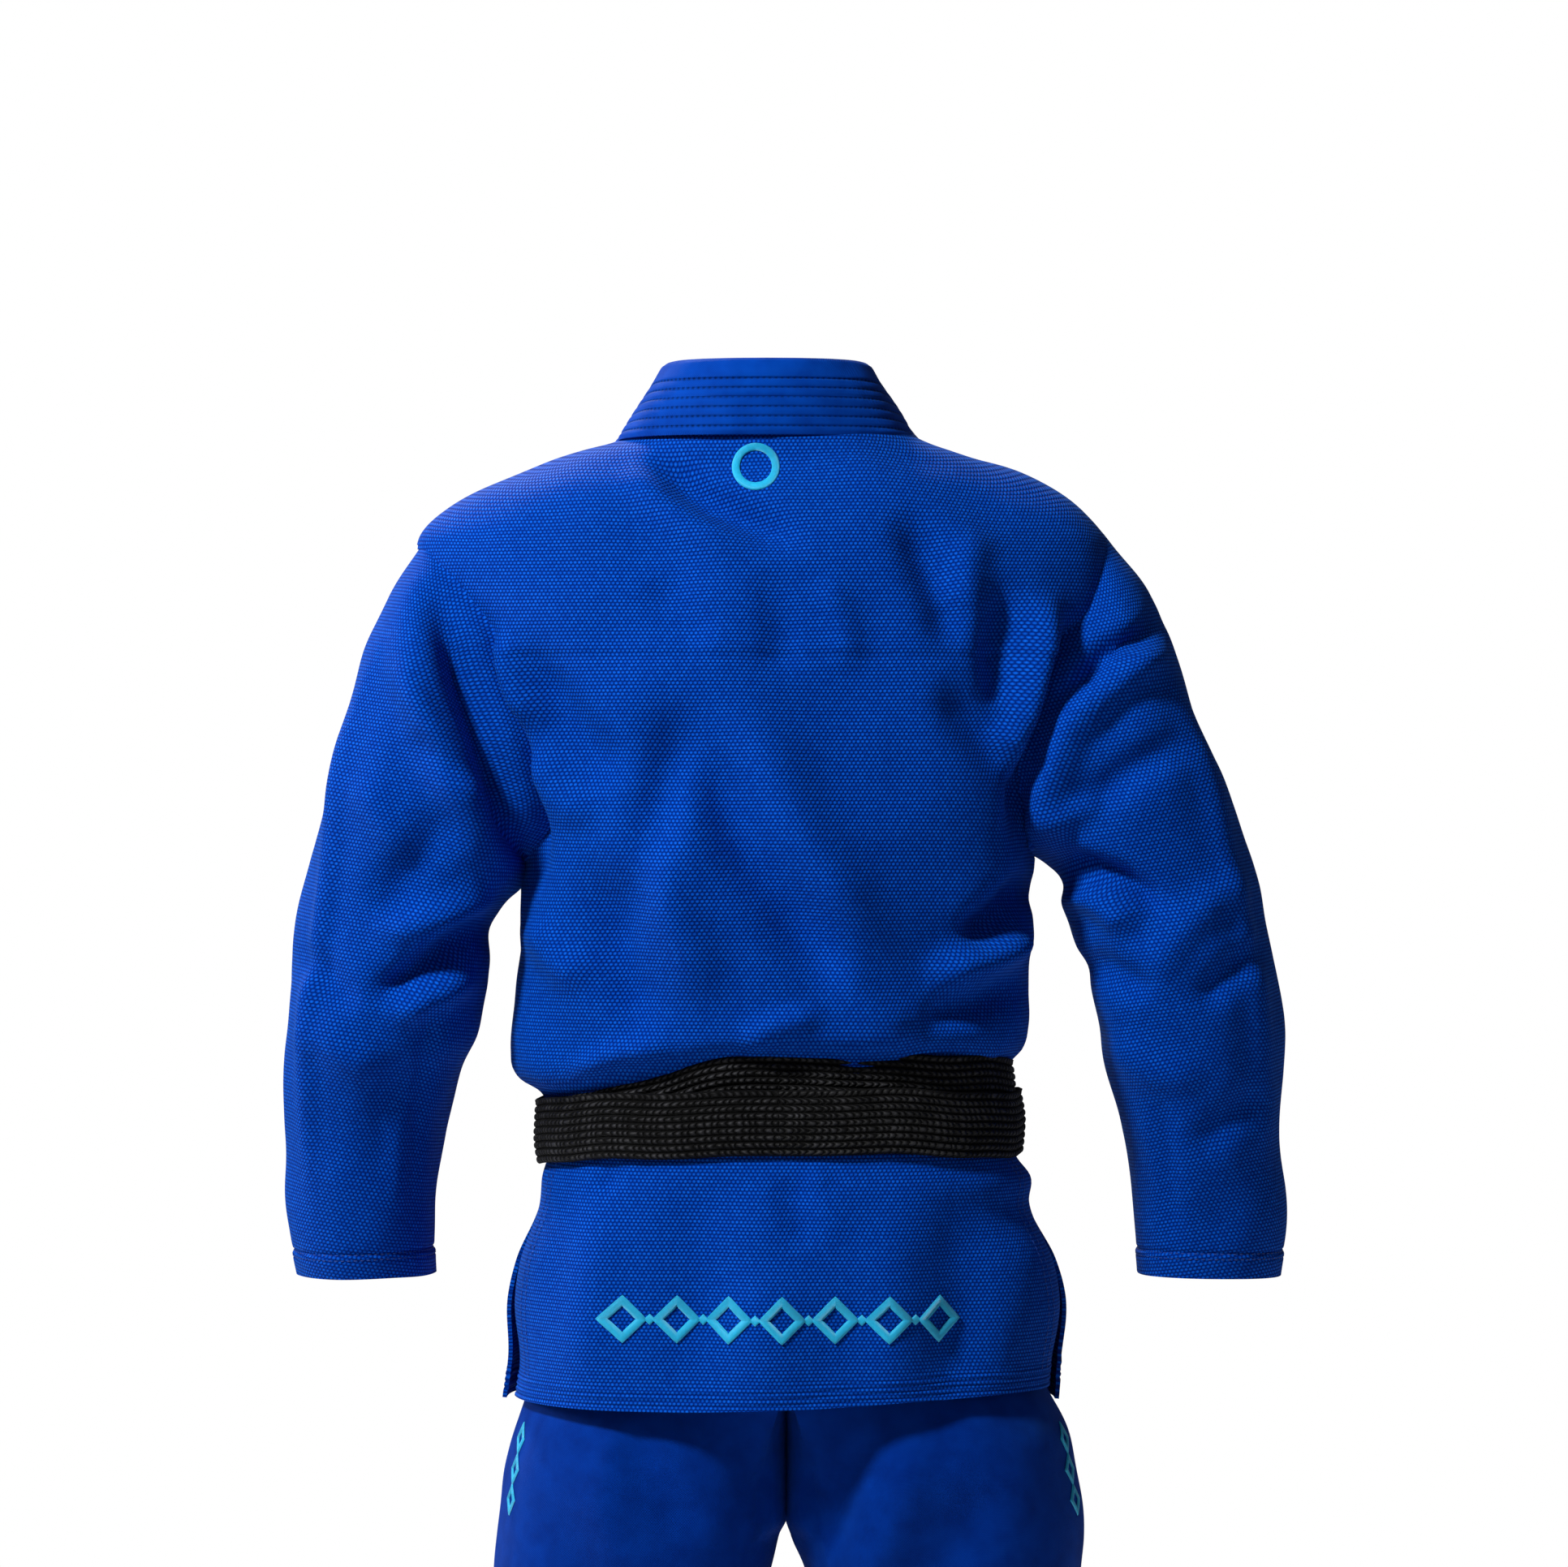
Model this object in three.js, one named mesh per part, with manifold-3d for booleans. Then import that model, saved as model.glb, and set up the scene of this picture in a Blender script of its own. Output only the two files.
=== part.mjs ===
// A judo-style uniform as it hangs on a wearer: a wrap-over jacket, its tied belt and the trousers.
// Every panel is a thin closed solid laid on smooth body sections. Millimetres, +Z up, the front faces -Y,
// and the origin is the centre of the neck opening at the height where the collar is sewn to the back.
import * as THREE from "three";
import { mergeVertices } from "three/addons/utils/BufferGeometryUtils.js";
import Module from "manifold-3d";

const wasm = await Module();
wasm.setup();

// ---- driving dimensions ----
const CLOTH = 3; // thickness of the jacket's woven cotton
const DRILL = 2; // thickness of the trousers' lighter cotton
const SEAM_GAP = 0.4; // clearance between neighbouring solids
const COLLAR_WIDTH = 50;
const COLLAR_THICKNESS = 7;
const BELT_WIDTH = 45;
const BELT_THICKNESS = 4.5;

const YOKE_Z = -150; // lower edge of the doubled layer across the shoulders
const BELT_MID_Z = -470;
const SKIRT_TOP_Z = BELT_MID_Z - BELT_WIDTH / 2 - 4;
const SKIRT_HEM_Z = -667;
const VENT_TOP_Z = -532;
const WAISTBAND_TOP_Z = -452;
const WAISTBAND_HEIGHT = 40;
const SEAT_BOTTOM_Z = -692;
const CROTCH_Z = -738;
const KNEE_Z = -1060;
const KNEE_HALF_SPAN = 100;
const TROUSER_HEM_Z = -1420;
const TROUSER_HEM_HEIGHT = 32;
const TAIL_LENGTH = 265;

const SIDES = [
  { name: "left", sign: 1 },
  { name: "right", sign: -1 },
];

// ---- body sections: height z, half width w, half depth d, centre y, squareness n ----
const TORSO = [
  { z: 0, w: 100, d: 72, y: 6, n: 2.0 },
  { z: -8, w: 126, d: 78, y: 6, n: 2.0 },
  { z: -17, w: 154, d: 83, y: 6, n: 2.0 },
  { z: -34, w: 193, d: 91, y: 6, n: 2.1 },
  { z: -52, w: 222, d: 98, y: 6, n: 2.2 },
  { z: -68, w: 236, d: 104, y: 5, n: 2.3 },
  { z: -100, w: 232, d: 114, y: 5, n: 2.4 },
  { z: -150, w: 220, d: 124, y: 5, n: 2.4 },
  { z: -200, w: 208, d: 130, y: 4, n: 2.4 },
  { z: -250, w: 197, d: 131, y: 2, n: 2.4 },
  { z: -300, w: 188, d: 130, y: 0, n: 2.4 },
  { z: -350, w: 181, d: 128, y: -1, n: 2.4 },
  { z: -400, w: 178, d: 127, y: -2, n: 2.4 },
  { z: -425, w: 174, d: 124, y: -2, n: 2.4 },
  { z: -442, w: 164, d: 115, y: -2, n: 2.4 },
  { z: -497, w: 163, d: 115, y: -2, n: 2.4 },
];
const SKIRT = [
  { z: -490, w: 163, d: 115, y: -2, n: 2.4 },
  { z: -530, w: 170, d: 121, y: -1, n: 2.4 },
  { z: -600, w: 183, d: 129, y: 0, n: 2.5 },
  { z: -670, w: 193, d: 134, y: 0, n: 2.6 },
];
const HIPS = [
  { z: -450, w: 138, d: 90, y: -2, n: 2.3 },
  { z: -500, w: 142, d: 93, y: -1, n: 2.3 },
  { z: -560, w: 154, d: 102, y: 1, n: 2.3 },
  { z: -620, w: 166, d: 109, y: 2, n: 2.4 },
  { z: -680, w: 178, d: 113, y: 2, n: 2.5 },
  { z: -740, w: 190, d: 114, y: 2, n: 2.6 },
];
// A leg's sections: centre x and y, half width a and half depth b, for the wearer's left.
const LEG = [
  { z: -738, x: 99, y: 2, a: 91, b: 113 },
  { z: -800, x: 104, y: 2, a: 92, b: 108 },
  { z: -900, x: 112, y: 0, a: 91, b: 100 },
  { z: -1000, x: 121, y: -4, a: 86, b: 93 },
  { z: -1060, x: 127, y: -5, a: 83, b: 89 },
  { z: -1130, x: 133, y: -2, a: 80, b: 86 },
  { z: -1250, x: 144, y: 6, a: 74, b: 80 },
  { z: -1350, x: 153, y: 9, a: 70, b: 76 },
  { z: -1420, x: 158, y: 10, a: 69, b: 75 },
];
// A sleeve's rings, from the armhole to the cuff: the inner and outer ends of each ring in x and z, its centre y and half depth b.
const SLEEVE = [
  { s: 0.0, in: [189, -298], out: [236, -64], y: 4, b: 84 },
  { s: 0.1, in: [190, -307], out: [262, -104], y: 4, b: 85 },
  { s: 0.2, in: [191, -313], out: [283, -160], y: 4, b: 85 },
  { s: 0.3, in: [193, -318], out: [307, -235], y: 5, b: 83 },
  { s: 0.4, in: [196, -326], out: [328, -308], y: 7, b: 80 },
  { s: 0.5, in: [204, -358], out: [337, -358], y: 10, b: 76 },
  { s: 0.6, in: [212, -395], out: [343, -397], y: 9, b: 73 },
  { s: 0.7, in: [223, -438], out: [347, -441], y: 0, b: 70 },
  { s: 0.8, in: [233, -484], out: [348, -487], y: -14, b: 66 },
  { s: 0.9, in: [240, -534], out: [348, -537], y: -30, b: 63 },
  { s: 1.0, in: [242, -584], out: [346, -584], y: -45, b: 61 },
];

// ---- small tools ----
const lerp = THREE.MathUtils.lerp;
const range = (count) => Array.from({ length: count }, (_, i) => i);
const span = (from, to, steps) => range(steps + 1).map((i) => lerp(from, to, i / steps));
const power = (value, exponent) => Math.sign(value) * Math.abs(value) ** exponent;

// Every numeric field of a list of stations, interpolated at the given value of one field.
function stationAt(stations, key, value) {
  const rising = stations[0][key] < stations.at(-1)[key];
  const passed = stations.findIndex((s) => (rising ? s[key] >= value : s[key] <= value));
  const high = Math.max(1, passed === -1 ? stations.length - 1 : passed);
  const [a, b] = [stations[high - 1], stations[high]];
  const t = (value - a[key]) / (b[key] - a[key]);
  const mix = (from, to) => (Array.isArray(from) ? from.map((v, i) => lerp(v, to[i], t)) : lerp(from, to, t));
  return Object.fromEntries(Object.keys(a).map((k) => [k, mix(a[k], b[k])]));
}

// A point on a body section. Angle 0 is the middle of the back, and 90 degrees is the wearer's left side.
function bodyPoint(stations, degrees, z, offset = 0) {
  const s = stationAt(stations, "z", z);
  const angle = THREE.MathUtils.degToRad(degrees);
  const x = (s.w + offset) * power(Math.sin(angle), 2 / s.n);
  const y = s.y + (s.d + offset) * power(Math.cos(angle), 2 / s.n);
  return new THREE.Vector3(x, y, z);
}

// The angle on the front half of a body section at which x has the given value.
function frontAngle(stations, x, z) {
  const s = stationAt(stations, "z", z);
  const sine = THREE.MathUtils.clamp(power(x / s.w, s.n / 2), -1, 1);
  return 180 - THREE.MathUtils.radToDeg(Math.asin(sine));
}

// The closed solid between two grids of points. A grid is a list of rows, and wrap joins each row's ends.
function skin(outer, inner, wrap = false) {
  const rows = outer.length;
  const columns = outer[0].length;
  const positions = [...outer, ...inner].flat().flatMap((p) => [p.x, p.y, p.z]);
  const outerAt = (r, c) => r * columns + (c % columns);
  const innerAt = (r, c) => rows * columns + outerAt(r, c);
  const faces = [];
  const quad = (a, b, c, d) => faces.push(a, b, c, a, c, d);
  const across = wrap ? columns : columns - 1;
  for (let r = 0; r < rows - 1; r += 1) {
    for (let c = 0; c < across; c += 1) {
      quad(outerAt(r, c), outerAt(r, c + 1), outerAt(r + 1, c + 1), outerAt(r + 1, c));
      quad(innerAt(r, c), innerAt(r + 1, c), innerAt(r + 1, c + 1), innerAt(r, c + 1));
    }
  }
  for (let c = 0; c < across; c += 1) {
    quad(outerAt(0, c), innerAt(0, c), innerAt(0, c + 1), outerAt(0, c + 1));
    quad(outerAt(rows - 1, c), outerAt(rows - 1, c + 1), innerAt(rows - 1, c + 1), innerAt(rows - 1, c));
  }
  for (let r = 0; r < rows - 1 && !wrap; r += 1) {
    quad(outerAt(r, 0), outerAt(r + 1, 0), innerAt(r + 1, 0), innerAt(r, 0));
    quad(outerAt(r, across), innerAt(r, across), innerAt(r + 1, across), outerAt(r + 1, across));
  }
  const geometry = new THREE.BufferGeometry();
  geometry.setAttribute("position", new THREE.Float32BufferAttribute(positions, 3));
  geometry.setIndex(faces);
  return facingOut(geometry);
}

// Turns a closed geometry's faces round if they point inwards.
function facingOut(geometry) {
  const points = geometry.getAttribute("position");
  const index = Array.from(geometry.getIndex().array);
  const corner = (i) => new THREE.Vector3().fromBufferAttribute(points, index[i]);
  let volume = 0;
  for (let i = 0; i < index.length; i += 3) volume += corner(i).dot(corner(i + 1).cross(corner(i + 2)));
  if (volume < 0) for (let i = 0; i < index.length; i += 3) [index[i + 1], index[i + 2]] = [index[i + 2], index[i + 1]];
  geometry.setIndex(index);
  return geometry;
}

function toSolid(geometry) {
  const vertProperties = new Float32Array(geometry.getAttribute("position").array);
  return new wasm.Manifold(new wasm.Mesh({ numProp: 3, vertProperties, triVerts: new Uint32Array(geometry.getIndex().array) }));
}

function toGeometry(solid) {
  const mesh = solid.getMesh();
  const geometry = new THREE.BufferGeometry();
  geometry.setAttribute("position", new THREE.BufferAttribute(mesh.vertProperties, 3));
  geometry.setIndex(new THREE.BufferAttribute(mesh.triVerts, 1));
  return geometry;
}

const cut = (geometry, ...cutters) => toGeometry(cutters.reduce((s, c) => s.subtract(toSolid(c)), toSolid(geometry)));

// ---- materials ----
const matt = (color, roughness = 0.9) => new THREE.MeshStandardMaterial({ color, roughness, metalness: 0 });
const JACKET_BLUE = matt(0x0b3f9e);
const LAPEL_BLUE = matt(0x0d47ab, 0.85);
const TROUSER_BLUE = matt(0x0b3c92, 0.85);
const BELT_BLACK = matt(0x16171a, 0.7);
const THREAD_CYAN = matt(0x22a5dd, 0.5);
const EYELET_STEEL = new THREE.MeshStandardMaterial({ color: 0x8c9096, roughness: 0.35, metalness: 1 });

const uniform = new THREE.Group();
function add(name, geometry, material) {
  const mesh = new THREE.Mesh(geometry, material);
  mesh.name = name;
  uniform.add(mesh);
  return mesh;
}

// A skin laid on body sections: rows of heights, and for each height the two angles that it spans.
// The layer says how far the skin lies off the sections at a given x.
function panel(stations, heights, angles, steps, outside, thickness, layer = () => 0) {
  const grid = (offset) =>
    heights.map((z) => {
      const [from, to] = angles(z);
      return span(from, to, steps).map((degrees) => {
        const depth = layer(bodyPoint(stations, degrees, z).x);
        return bodyPoint(stations, degrees, z, offset + depth);
      });
    });
  return skin(grid(outside), grid(outside - thickness));
}

// ---- jacket body ----
const TORSO_HEIGHTS = [-495, -442, -425, -400, -350, -300, -240, -180, -120, -68, -40, -20, -14, -8, -1];
const ARMHOLE = { y: 4, z: -181, halfDepth: 84, halfHeight: 117 };

// The block of space that an armhole leaves open, an elliptical bar along X.
function armholeCutter(sign) {
  const ring = (x) =>
    range(20).map((i) => {
      const angle = (i / 20) * 2 * Math.PI;
      const y = ARMHOLE.y + ARMHOLE.halfDepth * Math.cos(angle);
      return new THREE.Vector3(sign * x, y, ARMHOLE.z + ARMHOLE.halfHeight * Math.sin(angle));
    });
  const tip = (x) => range(20).map(() => new THREE.Vector3(sign * x, ARMHOLE.y, ARMHOLE.z));
  return barBetween([tip(120)[0], ...[ring(120), ring(300)], tip(300)[0]]);
}

// A closed solid from a start point, rings of equal length, and an end point.
function barBetween([start, ...rest]) {
  const end = rest.pop();
  const count = rest[0].length;
  const points = [start, ...rest.flat(), end];
  const at = (ring, i) => 1 + ring * count + (i % count);
  const faces = [];
  for (let i = 0; i < count; i += 1) {
    faces.push(0, at(0, i + 1), at(0, i), points.length - 1, at(rest.length - 1, i), at(rest.length - 1, i + 1));
    for (let r = 0; r < rest.length - 1; r += 1) {
      faces.push(at(r, i), at(r, i + 1), at(r + 1, i + 1), at(r, i), at(r + 1, i + 1), at(r + 1, i));
    }
  }
  const geometry = new THREE.BufferGeometry();
  geometry.setAttribute("position", new THREE.Float32BufferAttribute(points.flatMap((p) => [p.x, p.y, p.z]), 3));
  geometry.setIndex(faces);
  return facingOut(geometry);
}

// Where a front panel's open edge lies: x for the left front, which crosses to the wearer's right below the chest.
const EDGE = [
  { z: 0, x: 84 },
  { z: -60, x: 77 },
  { z: -120, x: 62 },
  { z: -200, x: 33 },
  { z: -270, x: -3 },
  { z: -350, x: -48 },
  { z: -440, x: -98 },
  { z: -490, x: -108 },
  { z: -560, x: -118 },
  { z: -670, x: -132 },
];
const edgeX = (z) => stationAt(EDGE, "z", z).x;
const seam = THREE.MathUtils.radToDeg(SEAM_GAP / 160);

function makeBack(heights) {
  const geometry = panel(TORSO, heights, () => [-90 + seam, 90 - seam], 16, 0, CLOTH);
  return cut(geometry, ...SIDES.map((side) => armholeCutter(side.sign)));
}

// The right front passes under the left one: from its side seam it sinks to the deeper layer.
const UNDER_LAYER = -11;
const FRONT_LAYER = {
  left: () => 0,
  right: (x) => UNDER_LAYER * THREE.MathUtils.smoothstep(x, -162, -112),
};

// A front panel reaches from the side seam to the band that edges it.
function frontSpan(stations, side, sideAngle) {
  return (z) => {
    const bandSide = frontAngle(stations, edgeX(z) + COLLAR_WIDTH + SEAM_GAP, z);
    return [sideAngle, bandSide].map((a) => (side.sign > 0 ? a : 360 - a));
  };
}

function makeFront(side) {
  const heights = TORSO_HEIGHTS.filter((z) => z < -10);
  const angles = frontSpan(TORSO, side, 90 + seam);
  const geometry = panel(TORSO, heights, angles, 10, 0, CLOTH, FRONT_LAYER[side.name]);
  return cut(geometry, armholeCutter(side.sign));
}

// ---- collar and lapels ----
// The collar stands round the back of the neck, leans in towards its top edge, and dips at its two ends.
function makeCollar() {
  const HALF_SWEEP = 110;
  const grid = (offset) =>
    [0, 0.5, 1].map((h) =>
      span(-HALF_SWEEP, HALF_SWEEP, 18).map((degrees) => {
        const angle = THREE.MathUtils.degToRad(degrees);
        const dip = THREE.MathUtils.smoothstep(Math.abs(degrees), 88, HALF_SWEEP);
        const w = lerp(101, 80, h) + offset;
        const d = lerp(74, 62, h) + offset;
        const z = 2 + h * COLLAR_WIDTH - dip * lerp(8, 22, h);
        return new THREE.Vector3(w * Math.sin(angle), 6 + d * Math.cos(angle), z);
      }),
    );
  return skin(grid(COLLAR_THICKNESS / 2), grid(-COLLAR_THICKNESS / 2));
}

// A lapel runs down a front's open edge. At the neck its inner edge stands off the chest and its outer edge drops.
function makeLapel(stations, side, heights) {
  const middle = FRONT_LAYER[side.name](0) - CLOTH / 2;
  const grid = (offset) =>
    heights.map((edgeZ) =>
      [0, 0.5, 1].map((u) => {
        const rise = THREE.MathUtils.smoothstep(edgeZ, -130, -10);
        const lift = 24 * rise * (1 - u);
        const z = edgeZ - 18 * THREE.MathUtils.smoothstep(edgeZ, -70, -4) * u;
        const x = edgeX(edgeZ) + u * (COLLAR_WIDTH - 4 * rise);
        const p = bodyPoint(stations, frontAngle(stations, x, z), z, middle + offset + lift * 0.35);
        return new THREE.Vector3(side.sign * p.x, p.y, p.z + lift);
      }),
    );
  return skin(grid(COLLAR_THICKNESS / 2), grid(-COLLAR_THICKNESS / 2));
}

add("back_panel", makeBack(TORSO_HEIGHTS.filter((z) => z < YOKE_Z).concat(YOKE_Z - SEAM_GAP)), JACKET_BLUE);
add("back_yoke", makeBack([YOKE_Z, ...TORSO_HEIGHTS.filter((z) => z > YOKE_Z)]), JACKET_BLUE);
add("collar", makeCollar(), LAPEL_BLUE);
for (const side of SIDES) {
  add(`${side.name}_front_panel`, makeFront(side), JACKET_BLUE);
  add(`${side.name}_lapel`, makeLapel(TORSO, side, TORSO_HEIGHTS.filter((z) => z < -2)), LAPEL_BLUE);
}

// ---- sleeves ----
// A sleeve lies flatter than an oval, as stiff cotton does when the arm hangs.
const SLEEVE_SQUARENESS = 2.5;

// A point on a sleeve's ring: angle 0 is its outer end, 90 degrees its back.
function sleevePoint(side, s, degrees, offset) {
  const ring = stationAt(SLEEVE, "s", s);
  const angle = THREE.MathUtils.degToRad(degrees);
  const inner = new THREE.Vector2(...ring.in);
  const outer = new THREE.Vector2(...ring.out);
  const middle = inner.clone().add(outer).divideScalar(2);
  const half = outer.clone().sub(inner).divideScalar(2);
  const reach = (half.length() + offset) * power(Math.cos(angle), 2 / SLEEVE_SQUARENESS);
  const across = half.normalize().multiplyScalar(reach).add(middle);
  const y = ring.y + (ring.b + offset) * power(Math.sin(angle), 2 / SLEEVE_SQUARENESS);
  return new THREE.Vector3(side.sign * across.x, y, across.y);
}

function tube(pointAt, stations, sides, outside, thickness) {
  const grid = (offset) => stations.map((s) => range(sides).map((i) => pointAt(s, (i / sides) * 360, offset)));
  return skin(grid(outside), grid(outside - thickness), true);
}

// The sleeve head grows out of the armhole: its first ring lies in the torso's surface, just inside the hole.
function headPoint(side, s, degrees, offset) {
  const angle = THREE.MathUtils.degToRad(degrees);
  const z = ARMHOLE.z + (ARMHOLE.halfHeight - 1 + offset) * Math.cos(angle);
  const y = ARMHOLE.y + (ARMHOLE.halfDepth - 1 + offset) * Math.sin(angle);
  const body = stationAt(TORSO, "z", z);
  const x = body.w * (1 - Math.abs((y - body.y) / body.d) ** body.n) ** (1 / body.n);
  const root = new THREE.Vector3(side.sign * x, y, z);
  return root.lerp(sleevePoint(side, s, degrees, offset), THREE.MathUtils.smoothstep(s, 0, 0.25));
}

const SLEEVE_SIDES = 16;
const HEAD_END = 0.4;
const ELBOW_SPAN = [0.485, 0.675];
const CUFF_START = 0.945;
const RING_GAP = 0.002;

for (const side of SIDES) {
  const at = (s, degrees, offset) => sleevePoint(side, s, degrees, offset);
  const part = (from, to, steps, outside = 0, thickness = CLOTH) =>
    tube(at, span(from, to, steps), SLEEVE_SIDES, outside, thickness);
  const headAt = (s, degrees, offset) => headPoint(side, s, degrees, offset);
  const head = tube(headAt, span(0, HEAD_END - RING_GAP, 6), SLEEVE_SIDES, 0, CLOTH);
  add(`${side.name}_sleeve_head`, head, JACKET_BLUE);
  add(`${side.name}_upper_sleeve`, part(HEAD_END, ELBOW_SPAN[0] - RING_GAP, 2), JACKET_BLUE);
  add(`${side.name}_elbow_fold`, part(ELBOW_SPAN[0], ELBOW_SPAN[1] - RING_GAP, 3), JACKET_BLUE);
  add(`${side.name}_lower_sleeve`, part(ELBOW_SPAN[1], CUFF_START - RING_GAP, 3), JACKET_BLUE);
  add(`${side.name}_cuff`, part(CUFF_START, 1, 1, 1.5, CLOTH + 3), JACKET_BLUE);
}

// ---- jacket skirt ----
const SKIRT_HEIGHTS = [SKIRT_TOP_Z, -516, VENT_TOP_Z, -575, -620, SKIRT_HEM_Z];
const backSkirt = panel(SKIRT, SKIRT_HEIGHTS, () => [-86, 86], 14, 0, CLOTH);
add("back_skirt", backSkirt, JACKET_BLUE);
for (const side of SIDES) {
  const angles = frontSpan(SKIRT, side, 94);
  const front = panel(SKIRT, SKIRT_HEIGHTS, angles, 10, 0, CLOTH, FRONT_LAYER[side.name]);
  add(`${side.name}_front_skirt`, front, JACKET_BLUE);
  add(`${side.name}_lapel_end`, makeLapel(SKIRT, side, SKIRT_HEIGHTS), LAPEL_BLUE);
}

// The stitched patch at the top of each side vent, on the back skirt.
for (const side of SIDES) {
  const angles = (z) => [74 + 6 * THREE.MathUtils.smoothstep(z, -560, -515), 85].map((a) => side.sign * a);
  add(`${side.name}_vent_patch`, panel(SKIRT, [-508, -530, -560], angles, 2, 3.2, 1.2), JACKET_BLUE);
}

// ---- embroidery: plain generic shapes in place of any mark ----
// A row of five lozenges joined by a thread line, across the back of the skirt.
const LOZENGE = { height: 26, width: 46, count: 5, z: -610, lift: 2.6 };
function makeSkirtEmbroidery() {
  const halfWidth = (LOZENGE.count * LOZENGE.width) / 2;
  const grid = (offset) =>
    [-1, 1].map((edge) =>
      span(-halfWidth, halfWidth, LOZENGE.count * 2).map((x, i) => {
        const reach = i % 2 ? LOZENGE.height / 2 : 3;
        const z = LOZENGE.z + edge * reach;
        const degrees = 180 - frontAngle(SKIRT, x, z);
        return bodyPoint(SKIRT, degrees, z, offset);
      }),
    );
  return skin(grid(LOZENGE.lift), grid(LOZENGE.lift - 1.2));
}
add("skirt_embroidery", makeSkirtEmbroidery(), THREAD_CYAN);

// A plain ring below the collar.
const ROUNDEL = { x: 16, z: -24, outer: 17, inner: 11, thickness: 1.2 };
function makeRoundel() {
  const profile = [
    [ROUNDEL.inner, 0],
    [ROUNDEL.outer, 0],
    [ROUNDEL.outer, ROUNDEL.thickness],
    [ROUNDEL.inner, ROUNDEL.thickness],
    [ROUNDEL.inner, 0],
  ].map(([r, h]) => new THREE.Vector2(r, h));
  const ring = new THREE.LatheGeometry(profile, 24);
  ring.deleteAttribute("normal");
  ring.deleteAttribute("uv");
  const geometry = facingOut(mergeVertices(ring, 1e-3));
  const degrees = 180 - frontAngle(TORSO, ROUNDEL.x, ROUNDEL.z);
  const at = bodyPoint(TORSO, degrees, ROUNDEL.z, 0);
  const above = bodyPoint(TORSO, degrees, ROUNDEL.z + 8, 0);
  const beside = bodyPoint(TORSO, degrees + 4, ROUNDEL.z, 0);
  const normal = above.sub(at).cross(beside.sub(at)).normalize();
  if (normal.y < 0) normal.negate();
  geometry.applyQuaternion(new THREE.Quaternion().setFromUnitVectors(new THREE.Vector3(0, 1, 0), normal));
  const seat = at.addScaledVector(normal, 3.6);
  geometry.translate(seat.x, seat.y, seat.z);
  return geometry;
}
add("back_roundel", makeRoundel(), THREAD_CYAN);

// ---- belt: two turns round the waist, a flat knot in front and two hanging tails ----
// The inner turn rides up across the back and the right side; the outer turn lies level over it.
function makeBeltTurn(offset, rise) {
  const wall = (out) =>
    span(-1, 1, 4).map((edge) =>
      range(40).map((i) => {
        const degrees = i * 9;
        return bodyPoint(TORSO, degrees, BELT_MID_Z + (edge * BELT_WIDTH) / 2 + rise(degrees), out);
      }),
    );
  return skin(wall(offset + BELT_THICKNESS), wall(offset), true);
}
const INNER_TURN_OFFSET = 3;
const OUTER_TURN_OFFSET = INNER_TURN_OFFSET + BELT_THICKNESS + 2;
const ridingUp = (degrees) => 20 * (0.5 + 0.5 * Math.cos(THREE.MathUtils.degToRad(degrees - 325)));
add("belt_inner_turn", makeBeltTurn(INNER_TURN_OFFSET, ridingUp), BELT_BLACK);
add("belt_outer_turn", makeBeltTurn(OUTER_TURN_OFFSET, () => 0), BELT_BLACK);

const BELT_FRONT_Y = -2 - 115 - OUTER_TURN_OFFSET - BELT_THICKNESS;
const KNOT = { width: 62, height: 50, depth: 22 };

// A strap through the given centre points, flat across the given width direction.
function strap(points, width, thickness, widthways) {
  const flat = (side) =>
    points.map((p, i) => {
      const along = points[Math.min(i + 1, points.length - 1)].clone().sub(points[Math.max(i - 1, 0)]).normalize();
      const across = widthways.clone().addScaledVector(along, -widthways.dot(along)).normalize();
      const out = across.clone().cross(along).normalize();
      return [-0.5, 0.5].map((u) =>
        p.clone().addScaledVector(across, u * width).addScaledVector(out, (side * thickness) / 2),
      );
    });
  return skin(flat(1), flat(-1));
}

function makeKnot() {
  const body = new THREE.SphereGeometry(1, 16, 10);
  body.deleteAttribute("normal");
  body.deleteAttribute("uv");
  const knot = mergeVertices(body, 1e-4);
  const points = knot.getAttribute("position");
  for (let i = 0; i < points.count; i += 1) {
    const squared = (v) => power(v, 0.6);
    points.setXYZ(
      i,
      (squared(points.getX(i)) * KNOT.width) / 2,
      (squared(points.getZ(i)) * KNOT.depth) / 2,
      (squared(points.getY(i)) * KNOT.height) / 2,
    );
  }
  knot.translate(0, BELT_FRONT_Y - SEAM_GAP - KNOT.depth / 2, BELT_MID_Z);
  return facingOut(knot);
}
add("belt_knot", makeKnot(), BELT_BLACK);

for (const side of SIDES) {
  const top = new THREE.Vector3(side.sign * 26, BELT_FRONT_Y - 14, BELT_MID_Z - KNOT.height / 2 - 3);
  const points = [0, 0.33, 0.67, 1].map((t) => {
    const splay = side.sign * 46 * t;
    return top.clone().add(new THREE.Vector3(splay, -9 * t, -TAIL_LENGTH * t));
  });
  add(`${side.name}_belt_tail`, strap(points, BELT_WIDTH, BELT_THICKNESS, new THREE.Vector3(1, 0, 0)), BELT_BLACK);
}

// ---- trousers: waistband ----
const WAISTBAND_BOTTOM_Z = WAISTBAND_TOP_Z - WAISTBAND_HEIGHT;
const WAISTBAND_THICKNESS = 4;
const EYELET = { x: 22, outer: 7, inner: 4, thickness: 1.5 };

function bodyRing(stations, heights, sides, outside, thickness) {
  return tube((z, degrees, offset) => bodyPoint(stations, degrees, z, offset), heights, sides, outside, thickness);
}

function alongY(geometry, x, y, z) {
  geometry.deleteAttribute("normal");
  geometry.deleteAttribute("uv");
  const merged = mergeVertices(geometry, 1e-3);
  merged.translate(x, y, z);
  return facingOut(merged);
}

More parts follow.
